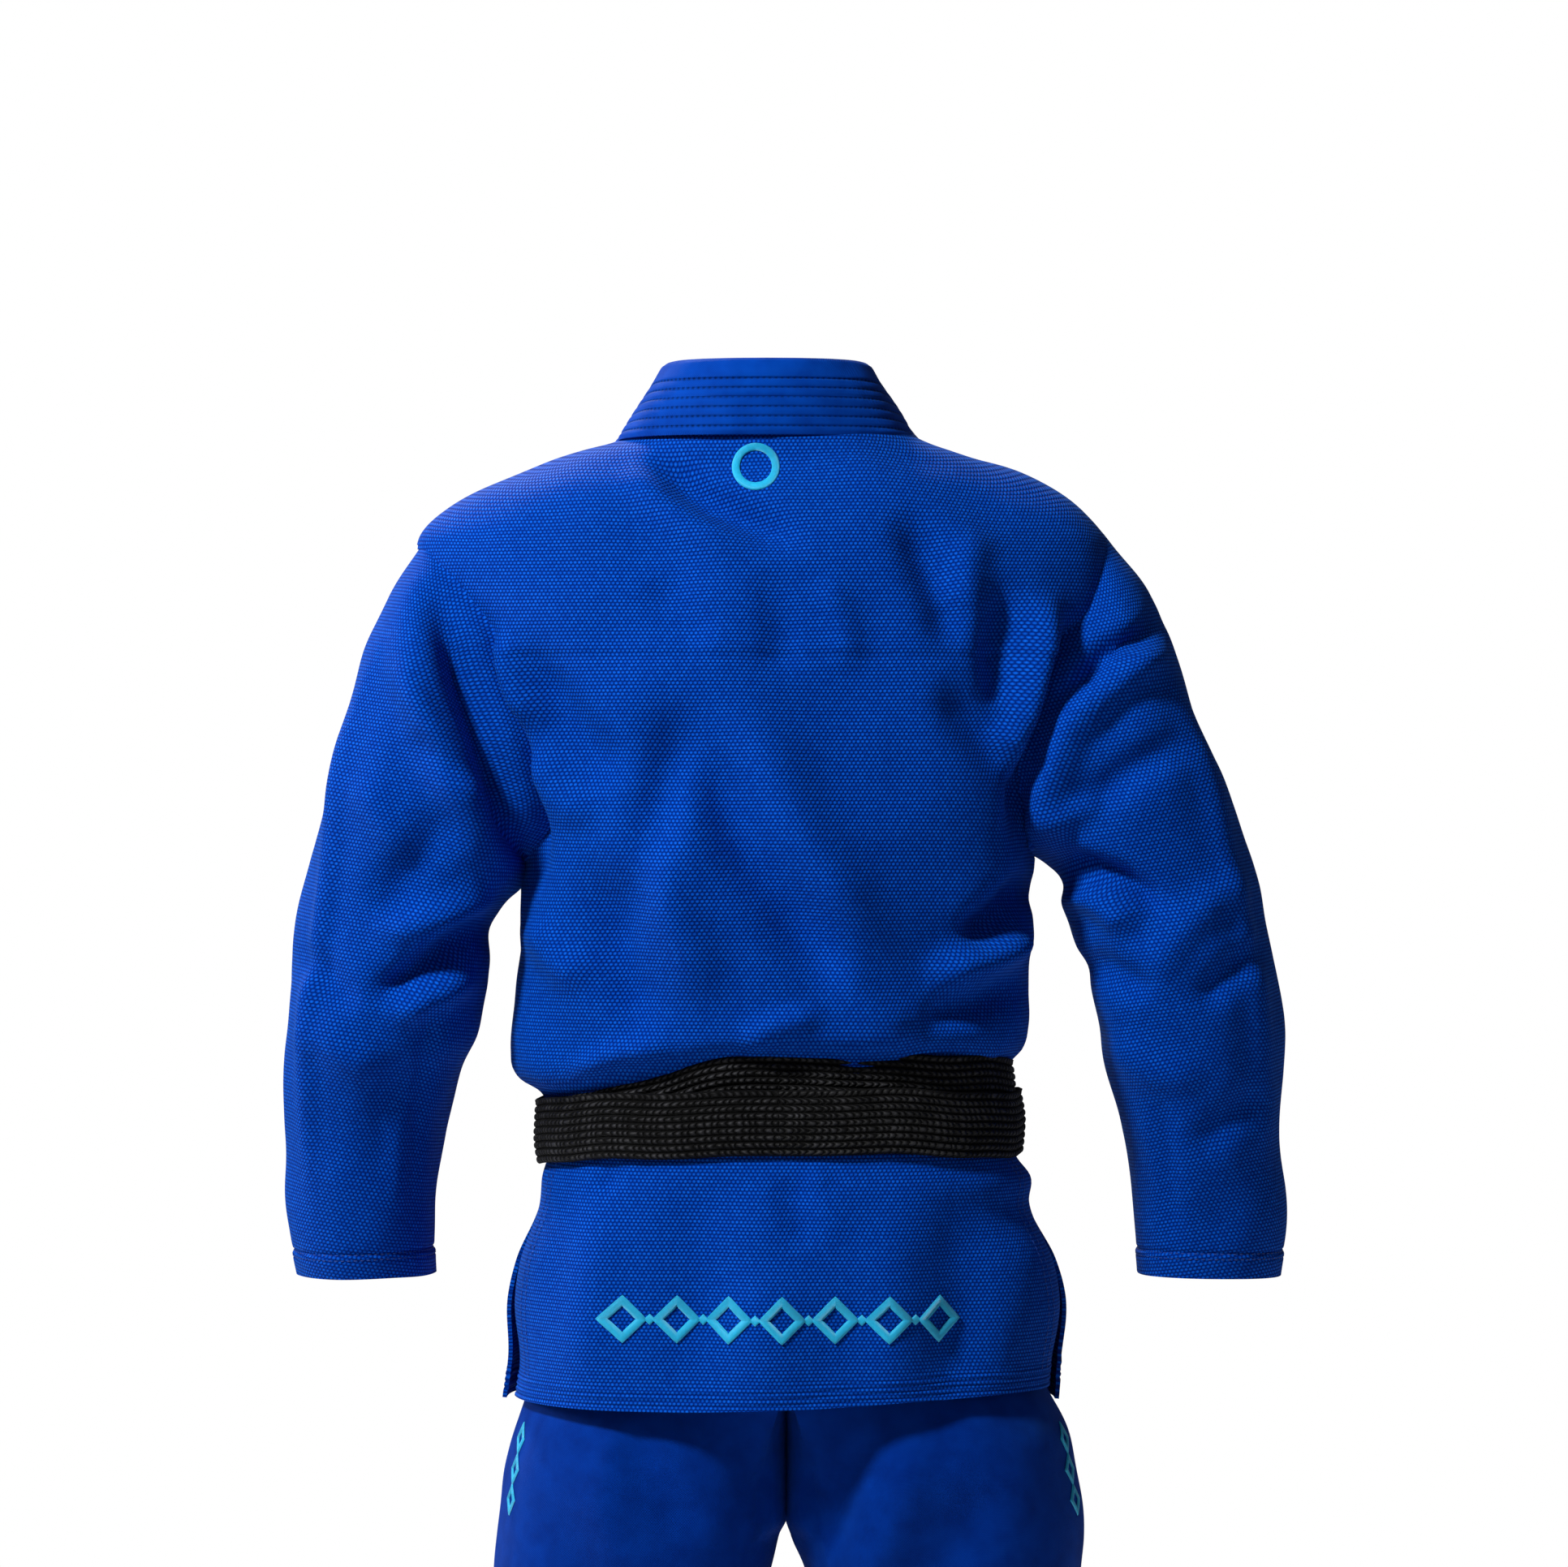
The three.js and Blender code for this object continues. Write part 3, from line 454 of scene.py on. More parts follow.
def shell(name, grid, thickness, material, wrap=False, hole=None, flip=False, uv=None):
    """A sheet of cloth: a grid of points for its outer face, an inner face behind it, and closed edges.
    hole is a mask of the cells that are cut out."""
    rows, columns = grid.shape[:2]
    normals = grid_normals(grid, wrap) * (-1 if flip else 1)
    inner = grid - normals * thickness
    vertices = np.concatenate([grid.reshape(-1, 3), inner.reshape(-1, 3)])
    flat = cloth_map(grid, wrap) if uv is None else uv
    last = columns if wrap else columns - 1
    keep = np.ones((rows - 1, last), bool) if hole is None else ~hole
    faces, corners = [], []

    def add(quad):
        ids, places = [], []
        for r, c, layer in quad:
            ids.append(layer * rows * columns + r * columns + c % columns)
            places.append(flat[r, c])
        if flip:
            ids.reverse()
            places.reverse()
        faces.append(ids)
        corners.extend(places)

    for r in range(rows - 1):
        for c in range(last):
            if not keep[r, c]:
                continue
            a, b, d, e = (r, c), (r, c + 1), (r + 1, c + 1), (r + 1, c)
            add([(*a, 0), (*b, 0), (*d, 0), (*e, 0)])
            add([(*a, 1), (*e, 1), (*d, 1), (*b, 1)])
            left = keep[r, (c - 1) % last] if (wrap or c > 0) else False
            right = keep[r, (c + 1) % last] if (wrap or c < last - 1) else False
            if r == 0 or not keep[r - 1, c]:
                add([(*b, 0), (*a, 0), (*a, 1), (*b, 1)])
            if r == rows - 2 or not keep[r + 1, c]:
                add([(*e, 0), (*d, 0), (*d, 1), (*e, 1)])
            if not left:
                add([(*a, 0), (*e, 0), (*e, 1), (*a, 1)])
            if not right:
                add([(*d, 0), (*b, 0), (*b, 1), (*d, 1)])
    used = np.unique(np.concatenate([np.array(f) for f in faces]))
    place = np.full(len(vertices), -1)
    place[used] = np.arange(len(used))
    faces = [[int(place[i]) for i in f] for f in faces]
    return make_mesh(name, vertices[used], faces, corners, material)


STITCH_LENGTH = 3.0
STITCH_GAP = 1.6
STITCH_RADIUS = 0.45
# How far along a thread each of its rings lies, its share of the radius, and how high it stands off the cloth.
STITCH_RINGS = ((0.0, 0.45, -0.05), (0.25, 1.0, 0.3), (0.75, 1.0, 0.3), (1.0, 0.45, -0.05))


def stitches(name, lines, material):
    """Rows of short square-sided threads. Each line is (points, outward normals)."""
    vertices, faces = [], []
    ring = [(math.cos(a), math.sin(a)) for a in np.linspace(0, 2 * math.pi, 5)[:-1] + math.pi / 4]
    for points, normals in lines:
        steps = np.r_[0, np.cumsum(np.linalg.norm(np.diff(points, axis=0), axis=1))]

        def along(values, at):
            return np.array([np.interp(at, steps, values[:, i]) for i in range(3)])

        for start in np.arange(0, max(steps[-1] - STITCH_LENGTH, 0.1), STITCH_LENGTH + STITCH_GAP):
            base = len(vertices)
            for share, size, lift in STITCH_RINGS:
                at = start + share * STITCH_LENGTH
                outward = along(normals, at)
                outward /= max(np.linalg.norm(outward), 1e-9)
                ahead = along(points, at + 0.6) - along(points, at - 0.6)
                ahead /= max(np.linalg.norm(ahead), 1e-9)
                across = np.cross(ahead, outward)
                middle = along(points, at) + outward * lift
                for a, b in ring:
                    vertices.append(middle + STITCH_RADIUS * size * (a * across + b * outward))
            for k in range(3):
                for i in range(4):
                    j = (i + 1) % 4
                    faces.append([base + 4 * k + i, base + 4 * k + j, base + 4 * k + 4 + j, base + 4 * k + 4 + i])
            faces.append([base + 3, base + 2, base + 1, base])
            faces.append([base + 12, base + 13, base + 14, base + 15])
    return make_mesh(name, np.array(vertices), faces, [(0, 0)] * 4 * len(faces), material)


# ---------------------------------------------------------------- jacket: body sections
# Height, half width on the wearer's left and right, half depth behind and in front, and squareness.
TORSO = [
    (7, 105, 91, 75, 71, 2.0),
    (0, 107, 97, 76, 72, 2.0),
    (-4, 116, 106, 77, 75, 2.0),
    (-9, 133, 119, 79, 78, 2.0),
    (-17, 159, 139, 82, 83, 2.0),
    (-34, 199, 180, 92, 91, 2.1),
    (-51, 228, 212, 100, 98, 2.2),
    (-68, 245, 231, 107, 104, 2.3),
    (-85, 247, 236, 112, 109, 2.35),
    (-105, 240, 233, 117, 114, 2.4),
    (-150, 222, 220, 124, 122, 2.4),
    (-200, 207, 206, 129, 127, 2.4),
    (-250, 194, 190, 131, 129, 2.4),
    (-300, 181, 175, 131, 129, 2.4),
    (-345, 180, 174, 129, 128, 2.4),
    (-385, 183, 174, 128, 127, 2.4),
    (-415, 184, 174, 128, 126, 2.4),
    (-426, 183, 173, 127, 124, 2.4),
    (-434, 178, 170, 122, 119, 2.4),
    (-441, 167, 164, 113, 114, 2.4),
    (-452, 161, 161, 110, 112, 2.4),
    (-500, 160, 160, 110, 112, 2.4),
]
CENTRE_Y = 4


def section(table, degrees, z, offset=0.0):
    """A point on a body section. 0 degrees is the middle of the back and 90 the wearer's left side."""
    left, right, back, front, square = track(table, z)
    angle = np.radians(degrees)
    s, c = np.sin(angle), np.cos(angle)
    w = np.where(s > 0, left, right) + offset
    d = np.where(c > 0, back, front) + offset
    x = w * np.sign(s) * np.abs(s) ** (2 / square)
    y = CENTRE_Y + d * np.sign(c) * np.abs(c) ** (2 / square)
    return np.stack([x, y, z * np.ones_like(x)], axis=-1)


# How much higher than in TORSO the jacket tucks under the belt, by angle. It blouses lowest at the wearer's left.
TUCK = [(-180, -4), (-90, 6), (-30, 15), (0, 17), (14, 10), (30, -1), (90, -12), (180, -4)]
TORSO_TOP = TORSO[0][0]
TORSO_FOOT = TORSO[-1][0]


def torso_point(degrees, z):
    low = smooth((-375 - z) / 60)
    p = section(TORSO, degrees, np.clip(z - track(TUCK, degrees)[0] * low, TORSO_FOOT, TORSO_TOP))
    p[..., 2] = z
    return p


# Folds on the back of the jacket: path of (x, z), width, height and the share of it in the softer rims.
BACK_FOLDS = [
    ([(96, -8), (50, -45), (0, -72), (-22, -88)], 13, -5.0, 0.4),
    ([(60, -166), (74, -228), (92, -300), (118, -372)], 18, -5.0, 0.5),
    ([(112, -20), (66, -58), (16, -92)], 15, 2.6, 0.3),
    ([(14, -92), (2, -118), (-2, -150), (4, -172)], 12, -2.4, 0.3),
    ([(-26, -96), (-42, -130), (-50, -168)], 12, 2.4, 0.3),
    ([(-78, -52), (-98, -86), (-112, -120), (-118, -160)], 15, -4.6, 0.4),
    ([(-140, -62), (-128, -96), (-120, -130)], 14, 2.4, 0.3),
    ([(88, -96), (64, -128), (40, -146)], 16, -2.0, 0.3),
    ([(62, -176), (46, -230), (28, -276), (-10, -330), (-48, -392)], 20, -6.6, 0.45),
    ([(30, -160), (10, -210), (-12, -262), (-46, -320), (-84, -372)], 22, 4.2, 0.3),
    ([(96, -250), (84, -300), (62, -350), (44, -404)], 20, 4.4, 0.3),
    ([(128, -280), (120, -330), (104, -378), (86, -420)], 18, -5.0, 0.4),
    ([(172, -140), (150, -190), (118, -226), (92, -240)], 18, -4.0, 0.4),
    ([(196, -132), (184, -170), (160, -206)], 13, 4.6, 0.3),
    ([(176, -216), (150, -250), (120, -268)], 15, 3.6, 0.3),
    ([(-158, -92), (-150, -150), (-156, -205)], 14, -4.6, 0.4),
    ([(-186, -104), (-178, -150), (-170, -214), (-172, -232)], 11, 6.4, 0.3),
    ([(-104, -170), (-136, -206), (-168, -246)], 15, -3.8, 0.4),
    ([(-150, -196), (-162, -222), (-172, -246)], 9, 4.0, 0.2),
    ([(-122, -352), (-148, -330), (-176, -300)], 13, -6.0, 0.45),
    ([(-96, -372), (-134, -362), (-176, -340)], 13, 5.6, 0.35),
    ([(-92, -398), (-134, -392), (-172, -372)], 12, -3.6, 0.35),
    ([(170, -330), (150, -362), (128, -380)], 14, 3.8, 0.3),
    ([(-30, -352), (-62, -392), (-104, -414)], 14, 3.2, 0.3),
    ([(30, -418), (0, -404), (-34, -398)], 9, 2.6, 0.3),
    ([(150, -440), (110, -424), (70, -420)], 9, 2.8, 0.3),
    # beside the armholes
    ([(214, -112), (203, -160), (192, -205), (181, -250), (171, -292), (168, -330)], 12, -8.0, 0.3),
    ([(-204, -118), (-190, -165), (-177, -210), (-167, -252), (-163, -300)], 12, -8.0, 0.3),
]
# Folds on the front, hidden in the main view.
FRONT_FOLDS = [
    ([(150, -60), (120, -130), (70, -220), (20, -300)], 18, -4.5, 0.4),
    ([(190, -150), (150, -230), (90, -330), (40, -400)], 20, 5.0, 0.3),
    ([(176, -250), (140, -320), (96, -400)], 15, -5.2, 0.4),
    ([(-150, -60), (-120, -140), (-84, -230)], 18, 4.2, 0.3),
    ([(-188, -160), (-150, -250), (-96, -330), (-60, -410)], 18, -5.4, 0.4),
    ([(-176, -270), (-150, -340), (-120, -410)], 14, 4.6, 0.3),
    ([(120, -420), (80, -400), (30, -404)], 10, 3.0, 0.3),
    ([(-150, -424), (-110, -404), (-70, -400)], 10, 3.0, 0.3),
]


YOKE_SEAM = -153
TORSO_FOLD_SCALE = 2.4


def torso_relief(p):
    """How far the jacket's body stands off its sections at each point."""
    z = p[..., 2]
    behind = smooth((p[..., 1] - CENTRE_Y) / 60 + 0.5)
    height = ripples(p, 110, 4.0, 3.1) + ripples(p, 46, 1.0, 7.7)
    height = height + behind * folds_at(p, BACK_FOLDS) + (1 - behind) * folds_at(p, FRONT_FOLDS)
    free = smooth((-z + 2) / 26) * smooth((z + 462) / 26)
    seam = behind * (0.9 * line_at(z, YOKE_SEAM + 4, 3.0) - 1.5 * line_at(z, YOKE_SEAM, 1.6))
    return TORSO_FOLD_SCALE * height * (0.12 + 0.88 * free) + seam


def relieved(p, relief, wrap=False, flip=False):
    """The points moved out along their normals."""
    return p + grid_normals(p, wrap) * (-1 if flip else 1) * relief[..., None]


def declare(grid, wrap=False, hole=None):
    """Works out the width, length and area that a piece's grid has when it is unrolled, and does nothing more with
    them.
    """
    closed = np.concatenate([grid, grid[:, :1]], axis=1) if wrap else grid
    a = closed[1:, 1:] - closed[:-1, :-1]
    b = closed[1:, :-1] - closed[:-1, 1:]
    cells = np.linalg.norm(np.cross(a, b), axis=-1) / 2
    if hole is not None:
        cells = cells * ~hole
    width = float(np.linalg.norm(np.diff(closed, axis=1), axis=-1).sum(axis=1).max() * MM)
    length = float(np.linalg.norm(np.diff(grid, axis=0), axis=-1).sum(axis=0).max() * MM)
    area = float(min(cells.sum() * MM * MM, 0.999 * width * length))


# ---------------------------------------------------------------- jacket: back, fronts
ARMHOLE = {"z": -183, "half_height": 117, "half_depth": 70, "y": 6}
TORSO_ROWS = np.r_[
    np.linspace(TORSO_FOOT, -440, 26)[:-1],
    np.linspace(-440, -75, 112)[:-1],
    TORSO_TOP - 82 * (1 - np.linspace(0, 1, 50)) ** 1.25,
]
CLOTH = 3.0
ARMHOLE_LAP = 8


def armhole_hole(grid):
    """The cells of a body grid that lie inside the armholes, apart from the lap under the sleeve's root."""
    middle = (grid[:-1, :-1] + grid[1:, :-1] + grid[1:, 1:] + grid[:-1, 1:]) / 4
    a = (middle[..., 1] - ARMHOLE["y"]) / (ARMHOLE["half_depth"] - ARMHOLE_LAP)
    b = (middle[..., 2] - ARMHOLE["z"]) / (ARMHOLE["half_height"] - ARMHOLE_LAP)
    return (a * a + b * b < 1) & (np.abs(middle[..., 0]) > 120)


degrees, heights = np.meshgrid(np.linspace(-90, 90, 170), TORSO_ROWS)
base = torso_point(degrees, heights)
back_grid = relieved(base, torso_relief(base), flip=True)
hole = armhole_hole(back_grid)
back = shell("jacket_back", back_grid, CLOTH, JACKET, hole=hole, flip=True, uv=cloth_map(base, False))
declare(back_grid, hole=hole)
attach(back, "torso")
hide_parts("back_panel", "back_yoke")

# The free edge of each front: height, and how far it lies from the middle towards its own side.
EDGE = [
    (-670, -132), (-560, -118), (-490, -108), (-440, -98), (-350, -48),
    (-270, -3), (-200, 33), (-120, 62), (-60, 77), (0, 84),
]
BAND = 50.0
BAND_LAP = 6
UNDER_LAYER = -11.0


def front_degrees(table, x, z, side):
    """The angle on the front of a section at which x, counted from the middle towards that side, has a given value."""
    left, right, _, _, square = track(table, z)
    w = left if side > 0 else right
    s = np.clip(x / w, -1, 1)
    s = np.sign(s) * np.abs(s) ** (square / 2)
    return 180 - np.degrees(np.arcsin(s))


def front_layer(side, x, z):
    """The wearer's right front passes under the left one, below the shoulder."""
    return 0.0 * x if side > 0 else UNDER_LAYER * smooth((x + 162) / 50) * smooth((-z - 20) / 100)


def front_grid(table, rows, side, columns, point):
    """The plain grid of one front, from its side seam to under the band, and the layer it lies in."""
    z = rows[:, None] * np.ones((1, columns))
    near_neck = (22 if side > 0 else 34) * smooth((rows + 60) / 50)
    inner = front_degrees(table, track(EDGE, rows)[0] + BAND - BAND_LAP - near_neck, rows, side)[:, None]
    t = np.linspace(0, 1, columns)[None, :]
    angle = (90 + (inner - 90) * t) * side
    p = point(angle, z)
    return p, front_layer(side, p[..., 0], p[..., 2])


def front_torso_point(angle, z):
    return torso_point(((angle + 180) % 360) - 180, z)


def front_skirt_point(angle, z):
    return section(SKIRT, angle, z)


for side, word in SIDES:
    rows = TORSO_ROWS[TORSO_ROWS < 3]
    p, layer = front_grid(TORSO, rows, side, 120, front_torso_point)
    grid = relieved(p, torso_relief(p) + layer, flip=side > 0)
    hole = armhole_hole(grid)
    made = shell(f"{word}_front", grid, CLOTH, JACKET, hole=hole, flip=side > 0, uv=cloth_map(p, False))
    declare(grid, hole=hole)
    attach(made, "torso")
    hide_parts(f"{word}_front_panel")


# ---------------------------------------------------------------- jacket: sleeves
# Along the sleeve: the inner and outer ends of each ring (x, z), its middle y and its half depth.
SLEEVES = {
    1: [
        (0.0, 181, -290, 243, -68, 6, 84),
        (0.1, 176, -292, 266, -100, 6, 86),
        (0.2, 175, -300, 286, -148, 6, 87),
        (0.3, 180, -312, 303, -206, 7, 85),
        (0.4, 196, -327, 321, -275, 8, 81),
        (0.5, 203, -366, 334, -338, 10, 76),
        (0.6, 212, -412, 341, -400, 8, 73),
        (0.7, 224, -441, 344, -443, 0, 70),
        (0.8, 234, -484, 344, -487, -14, 66),
        (0.9, 241, -534, 343, -537, -30, 63),
        (1.0, 242, -584, 336, -584, -45, 61),
    ],
    -1: [
        (0.0, 174, -290, 236, -74, 6, 84),
        (0.1, 172, -288, 251, -101, 6, 86),
        (0.2, 176, -292, 273, -148, 6, 87),
        (0.3, 186, -299, 294, -204, 7, 85),
        (0.4, 200, -316, 319, -268, 8, 81),
        (0.5, 205, -350, 337, -330, 10, 76),
        (0.6, 219, -396, 347, -395, 8, 73),
        (0.7, 229, -441, 350, -441, 0, 70),
        (0.8, 240, -484, 352, -485, -14, 66),
        (0.9, 247, -536, 356, -536, -30, 63),
        (1.0, 252, -583, 350, -584, -45, 61),
    ],
}
SLEEVE_FOLDS = {
    1: [
        ([(240, -98), (226, -140), (212, -180), (200, -220), (186, -262), (174, -300)], 11, -13.0, 0.3),
        ([(262, -130), (248, -180), (232, -225), (214, -268), (196, -304)], 14, 8.0, 0.2),
        ([(252, -206), (232, -222), (208, -244)], 9, -4.0, 0.4),
        ([(262, -150), (236, -196), (214, -240), (196, -282)], 13, 5.0, 0.3),
        ([(204, -246), (228, -270), (250, -296), (272, -340)], 16, -4.2, 0.4),
        ([(188, -300), (214, -322), (250, -338), (286, -342)], 12, 6.0, 0.3),
        ([(196, -330), (229, -355), (262, -378), (286, -386)], 11, -8.0, 0.45),
        ([(206, -366), (236, -386), (270, -404)], 11, 5.0, 0.3),
        ([(232, -353), (237, -380), (244, -440), (254, -520), (258, -584)], 7, -2.2, 0.4),
        ([(268, -104), (296, -208), (314, -316), (323, -394), (326, -470), (324, -560)], 7, 3.4, 0.35),
        ([(290, -230), (268, -270), (240, -300)], 13, 3.6, 0.3),
        ([(336, -352), (310, -372), (286, -400)], 11, -3.6, 0.35),
        ([(330, -402), (300, -424), (266, -438)], 14, 3.2, 0.3),
        ([(250, -424), (270, -470), (276, -530)], 14, -2.6, 0.3),
    ],
    -1: [
        ([(-218, -150), (-202, -192), (-188, -236), (-178, -272), (-176, -304)], 13, 8.0, 0.2),
        ([(-264, -122), (-250, -138), (-222, -151), (-207, -171), (-188, -196)], 8, -6.0, 0.5),
        ([(-276, -150), (-246, -162), (-222, -184), (-202, -214)], 11, 5.2, 0.3),
        ([(-290, -210), (-256, -222), (-222, -246), (-196, -272)], 13, -4.6, 0.4),
        ([(-226, -250), (-200, -262), (-180, -276)], 10, 4.4, 0.3),
        ([(-184, -290), (-211, -300), (-237, -308), (-255, -322), (-260, -340)], 10, -8.0, 0.45),
        ([(-196, -312), (-224, -326), (-244, -346)], 11, 5.6, 0.3),
        ([(-204, -356), (-232, -372), (-262, -384)], 12, -5.0, 0.4),
        ([(-330, -300), (-296, -322), (-268, -352), (-252, -392)], 14, 4.4, 0.3),
        ([(-338, -350), (-312, -366), (-282, -396)], 11, -4.4, 0.35),
        ([(-222, -410), (-256, -436), (-300, -446)], 14, 3.2, 0.3),
        ([(-344, -452), (-312, -470), (-280, -500)], 12, -2.8, 0.3),
        ([(-252, -120), (-282, -200), (-306, -290), (-332, -400), (-338, -540)], 8, 2.6, 0.35),
        ([(-260, -440), (-268, -500), (-274, -574)], 8, -2.2, 0.35),
    ],
}


ROOT_LENGTH = 0.12
ROOT_DEPTH = 2.2
CUFF_SEAM = 0.963


def sleeve_point(side, s, degrees):
    """A point on a sleeve: s runs from the armhole to the cuff's edge, and 0 degrees is its outer side."""
    inx, inz, outx, outz, y, b = track(SLEEVES[side], s)
    angle = np.radians(degrees)
    c, sn = np.cos(angle), np.sin(angle)
    square = 2.3 + 0.25 * smooth(s / 0.1) * smooth((0.5 - s) / 0.25)
    across = np.sign(c) * np.abs(c) ** (2 / square)
    deep = np.sign(sn) * np.abs(sn) ** (2 / square)
    x = (inx + outx) / 2 + (outx - inx) / 2 * across
    z = (inz + outz) / 2 + (outz - inz) / 2 * across
    tube = np.stack([side * x, y + b * deep, z], axis=-1)
    # the root lies just under the body's cloth, round the armhole
    rz = ARMHOLE["z"] + (ARMHOLE["half_height"] + 2) * c
    ry = ARMHOLE["y"] + (ARMHOLE["half_depth"] + 2) * sn
    left, right, back, front, square = track(TORSO, rz)
    w = left if side > 0 else right
    d = np.where(ry > CENTRE_Y, back, front)
    rx = w * (1 - np.clip(np.abs((ry - CENTRE_Y) / d), 0, 1) ** square) ** (1 / square)
    root = np.stack([side * rx, ry, rz], axis=-1)
    root[..., 0] += side * (torso_relief(root) - ROOT_DEPTH)
    t = smooth(s / ROOT_LENGTH)[..., None]
    return root * (1 - t) + tube * t


def sleeve_relief(side, p, s):
    behind = smooth((p[..., 1] + 20) / 60)
    folds = SLEEVE_FOLDS[side]
    height = ripples(p, 90, 3.6, 11.3) + ripples(p, 38, 1.0, 5.9)
    height = height + behind * folds_at(p, folds) + (1 - behind) * folds_at(p, folds[3:8], 1.3, 0.8)
    cuff = 1.2 * smooth((s - CUFF_SEAM + 0.001) / 0.006)
    cuff = cuff - 1.4 * line_at(s, CUFF_SEAM, 0.0028) - 0.8 * line_at(s, CUFF_SEAM + 0.009, 0.0022)
    return 1.6 * height * smooth(s / 0.035) + cuff


ELBOW_CUT = 0.48
SLEEVE_COLUMNS = 128
BACK_COLUMN = 96


def sleeve_grid(side, s_values):
    """Rings along a sleeve, from under the arm round: with its folds, its normals, and without its folds."""
    degrees = 180 + np.arange(SLEEVE_COLUMNS) * 360 / SLEEVE_COLUMNS
    s, degrees = np.meshgrid(s_values, degrees, indexing="ij")
    plain = sleeve_point(side, s, degrees)
    folded = relieved(plain, sleeve_relief(side, plain, s), wrap=True, flip=side > 0)
    return folded, grid_normals(plain, True) * (-side), plain


def sleeve_cloth(name, side, s_values):
    grid, _, plain = sleeve_grid(side, s_values)
    grain = (-68 * side, 0, 404)
    uv = cloth_map(plain, True, grain, BACK_COLUMN)
    made = shell(name, grid, CLOTH, JACKET, wrap=True, flip=side > 0, uv=uv)
    declare(grid, wrap=True)
    return made


for side, word in SIDES:
    made = sleeve_cloth(f"{word}_sleeve_upper", side, np.linspace(0, ELBOW_CUT, 90))
    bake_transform(made)
    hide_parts(f"{word}_sleeve_head", f"{word}_upper_sleeve")
    rows = np.r_[np.linspace(ELBOW_CUT, 0.93, 74), np.linspace(0.93, 1, 30)[1:]]
    made = sleeve_cloth(f"{word}_sleeve_lower", side, rows)
    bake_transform(made)
    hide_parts(f"{word}_elbow_fold", f"{word}_lower_sleeve", f"{word}_cuff")
    # the cuff is turned up and sewn with two rows
    rows = []
    for s in (CUFF_SEAM + 0.001, CUFF_SEAM + 0.008):
        p, n, _ = sleeve_grid(side, np.array([s - 0.004, s, s + 0.004]))
        rows.append((np.vstack([p[1], p[1][:1]]), np.vstack([n[1], n[1][:1]])))
    made = stitches(f"{word}_cuff_stitches", rows, STITCH)
    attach(made, f"{word}_forearm_body")

# ---------------------------------------------------------------- jacket: skirt
SKIRT = [
    (-484, 158, 159, 111, 112, 2.4),
    (-500, 160, 165, 114, 114, 2.4),
    (-513, 162, 173, 117, 117, 2.4),
    (-530, 165, 171, 121, 120, 2.4),
    (-573, 181, 187, 127, 126, 2.5),
    (-597, 185, 191, 130, 129, 2.5),
    (-642, 182, 187, 133, 131, 2.6),
    (-676, 184, 185, 134, 132, 2.6),
]
SKIRT_FOLDS = [
    ([(120, -500), (128, -560), (132, -640), (130, -676)], 20, 3.4, 0.4),
    ([(60, -500), (54, -570), (66, -676)], 26, -3.6, 0.4),
    ([(-6, -500), (-12, -530), (-20, -560)], 12, -3.4, 0.4),
    ([(-64, -520), (-78, -600), (-70, -676)], 24, 3.6, 0.4),
    ([(-120, -510), (-128, -580), (-118, -676)], 22, -3.8, 0.4),
    ([(0, -560), (8, -620), (0, -676)], 24, 2.6, 0.3),
    ([(112, -492), (116, -508), (124, -522)], 8, -2.6, 0.4),
    ([(-22, -492), (-26, -506), (-24, -518)], 7, 2.2, 0.4),
]


HEM_ROWS = (3.5, 7.5, 11.5, 15.5)


def skirt_relief(p):
    height = ripples(p, 100, 3.6, 21.7) + ripples(p, 40, 0.8, 9.1) + folds_at(p, SKIRT_FOLDS)
    up = p[..., 2] - hem_z(p[..., 0])
    sewn = sum(-0.9 * line_at(up, row, 0.9) for row in HEM_ROWS)
    turned = 0.8 * smooth((18 - up) / 2)
    return 1.6 * height * smooth((-492 - p[..., 2]) / 26) + sewn + turned


def hem_z(x):
    return track([(-200, -656), (-120, -658), (0, -664), (100, -666), (200, -664)], x)[0]


def hang(t, x):
    """Heights from under the belt to the hem."""
    return SKIRT_TOP + (hem_z(x) - SKIRT_TOP) * t


def front_flare(z):
    """How far the front skirts stand out in front of their section, towards the hem."""
    return 8 * smooth((-520 - z) / 130)


SKIRT_TOP = -486
FRONT_HEM = -668
SKIRT_ROWS = np.r_[np.linspace(0, 0.89, 58), np.linspace(0.89, 1, 30)[1:]]
t, degrees = np.meshgrid(SKIRT_ROWS, np.linspace(-86, 86, 132), indexing="ij")
x = section(SKIRT, degrees, -600.0 + 0 * t)[..., 0]
p = section(SKIRT, degrees, hang(t, x))
grid = relieved(p, skirt_relief(p))
back_skirt = shell("jacket_back_skirt", grid, CLOTH, JACKET)
declare(grid)
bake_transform(back_skirt)
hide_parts("back_skirt", "left_vent_patch", "right_vent_patch")
normals = grid_normals(grid, False)
# two sewn rows beside each vent
columns = [(grid[2:66, c], normals[2:66, c]) for c in (9, 12, 119, 122)]
made = stitches("back_skirt_stitches", columns, STITCH)
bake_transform(made)

for side, word in SIDES:
    z = SKIRT_TOP + (FRONT_HEM - SKIRT_TOP) * SKIRT_ROWS
    p, layer = front_grid(SKIRT, z, side, 84, front_skirt_point)
    grid = relieved(p, skirt_relief(p) * 0.8 + layer + front_flare(p[..., 2]), flip=side < 0)
    made = shell(f"{word}_front_skirt_cloth", grid, CLOTH, JACKET, flip=side < 0)
    declare(grid)
    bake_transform(made)
    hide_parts(f"{word}_front_skirt")

# ---------------------------------------------------------------- collar and lapels: one folded band
BAND_ROWS = np.linspace(0, 1, 44)
BAND_THICKNESS = 6.0
SEWN_ROWS = (5.4, 12.0, 18.0, 24.3, 30.0, 36.0)


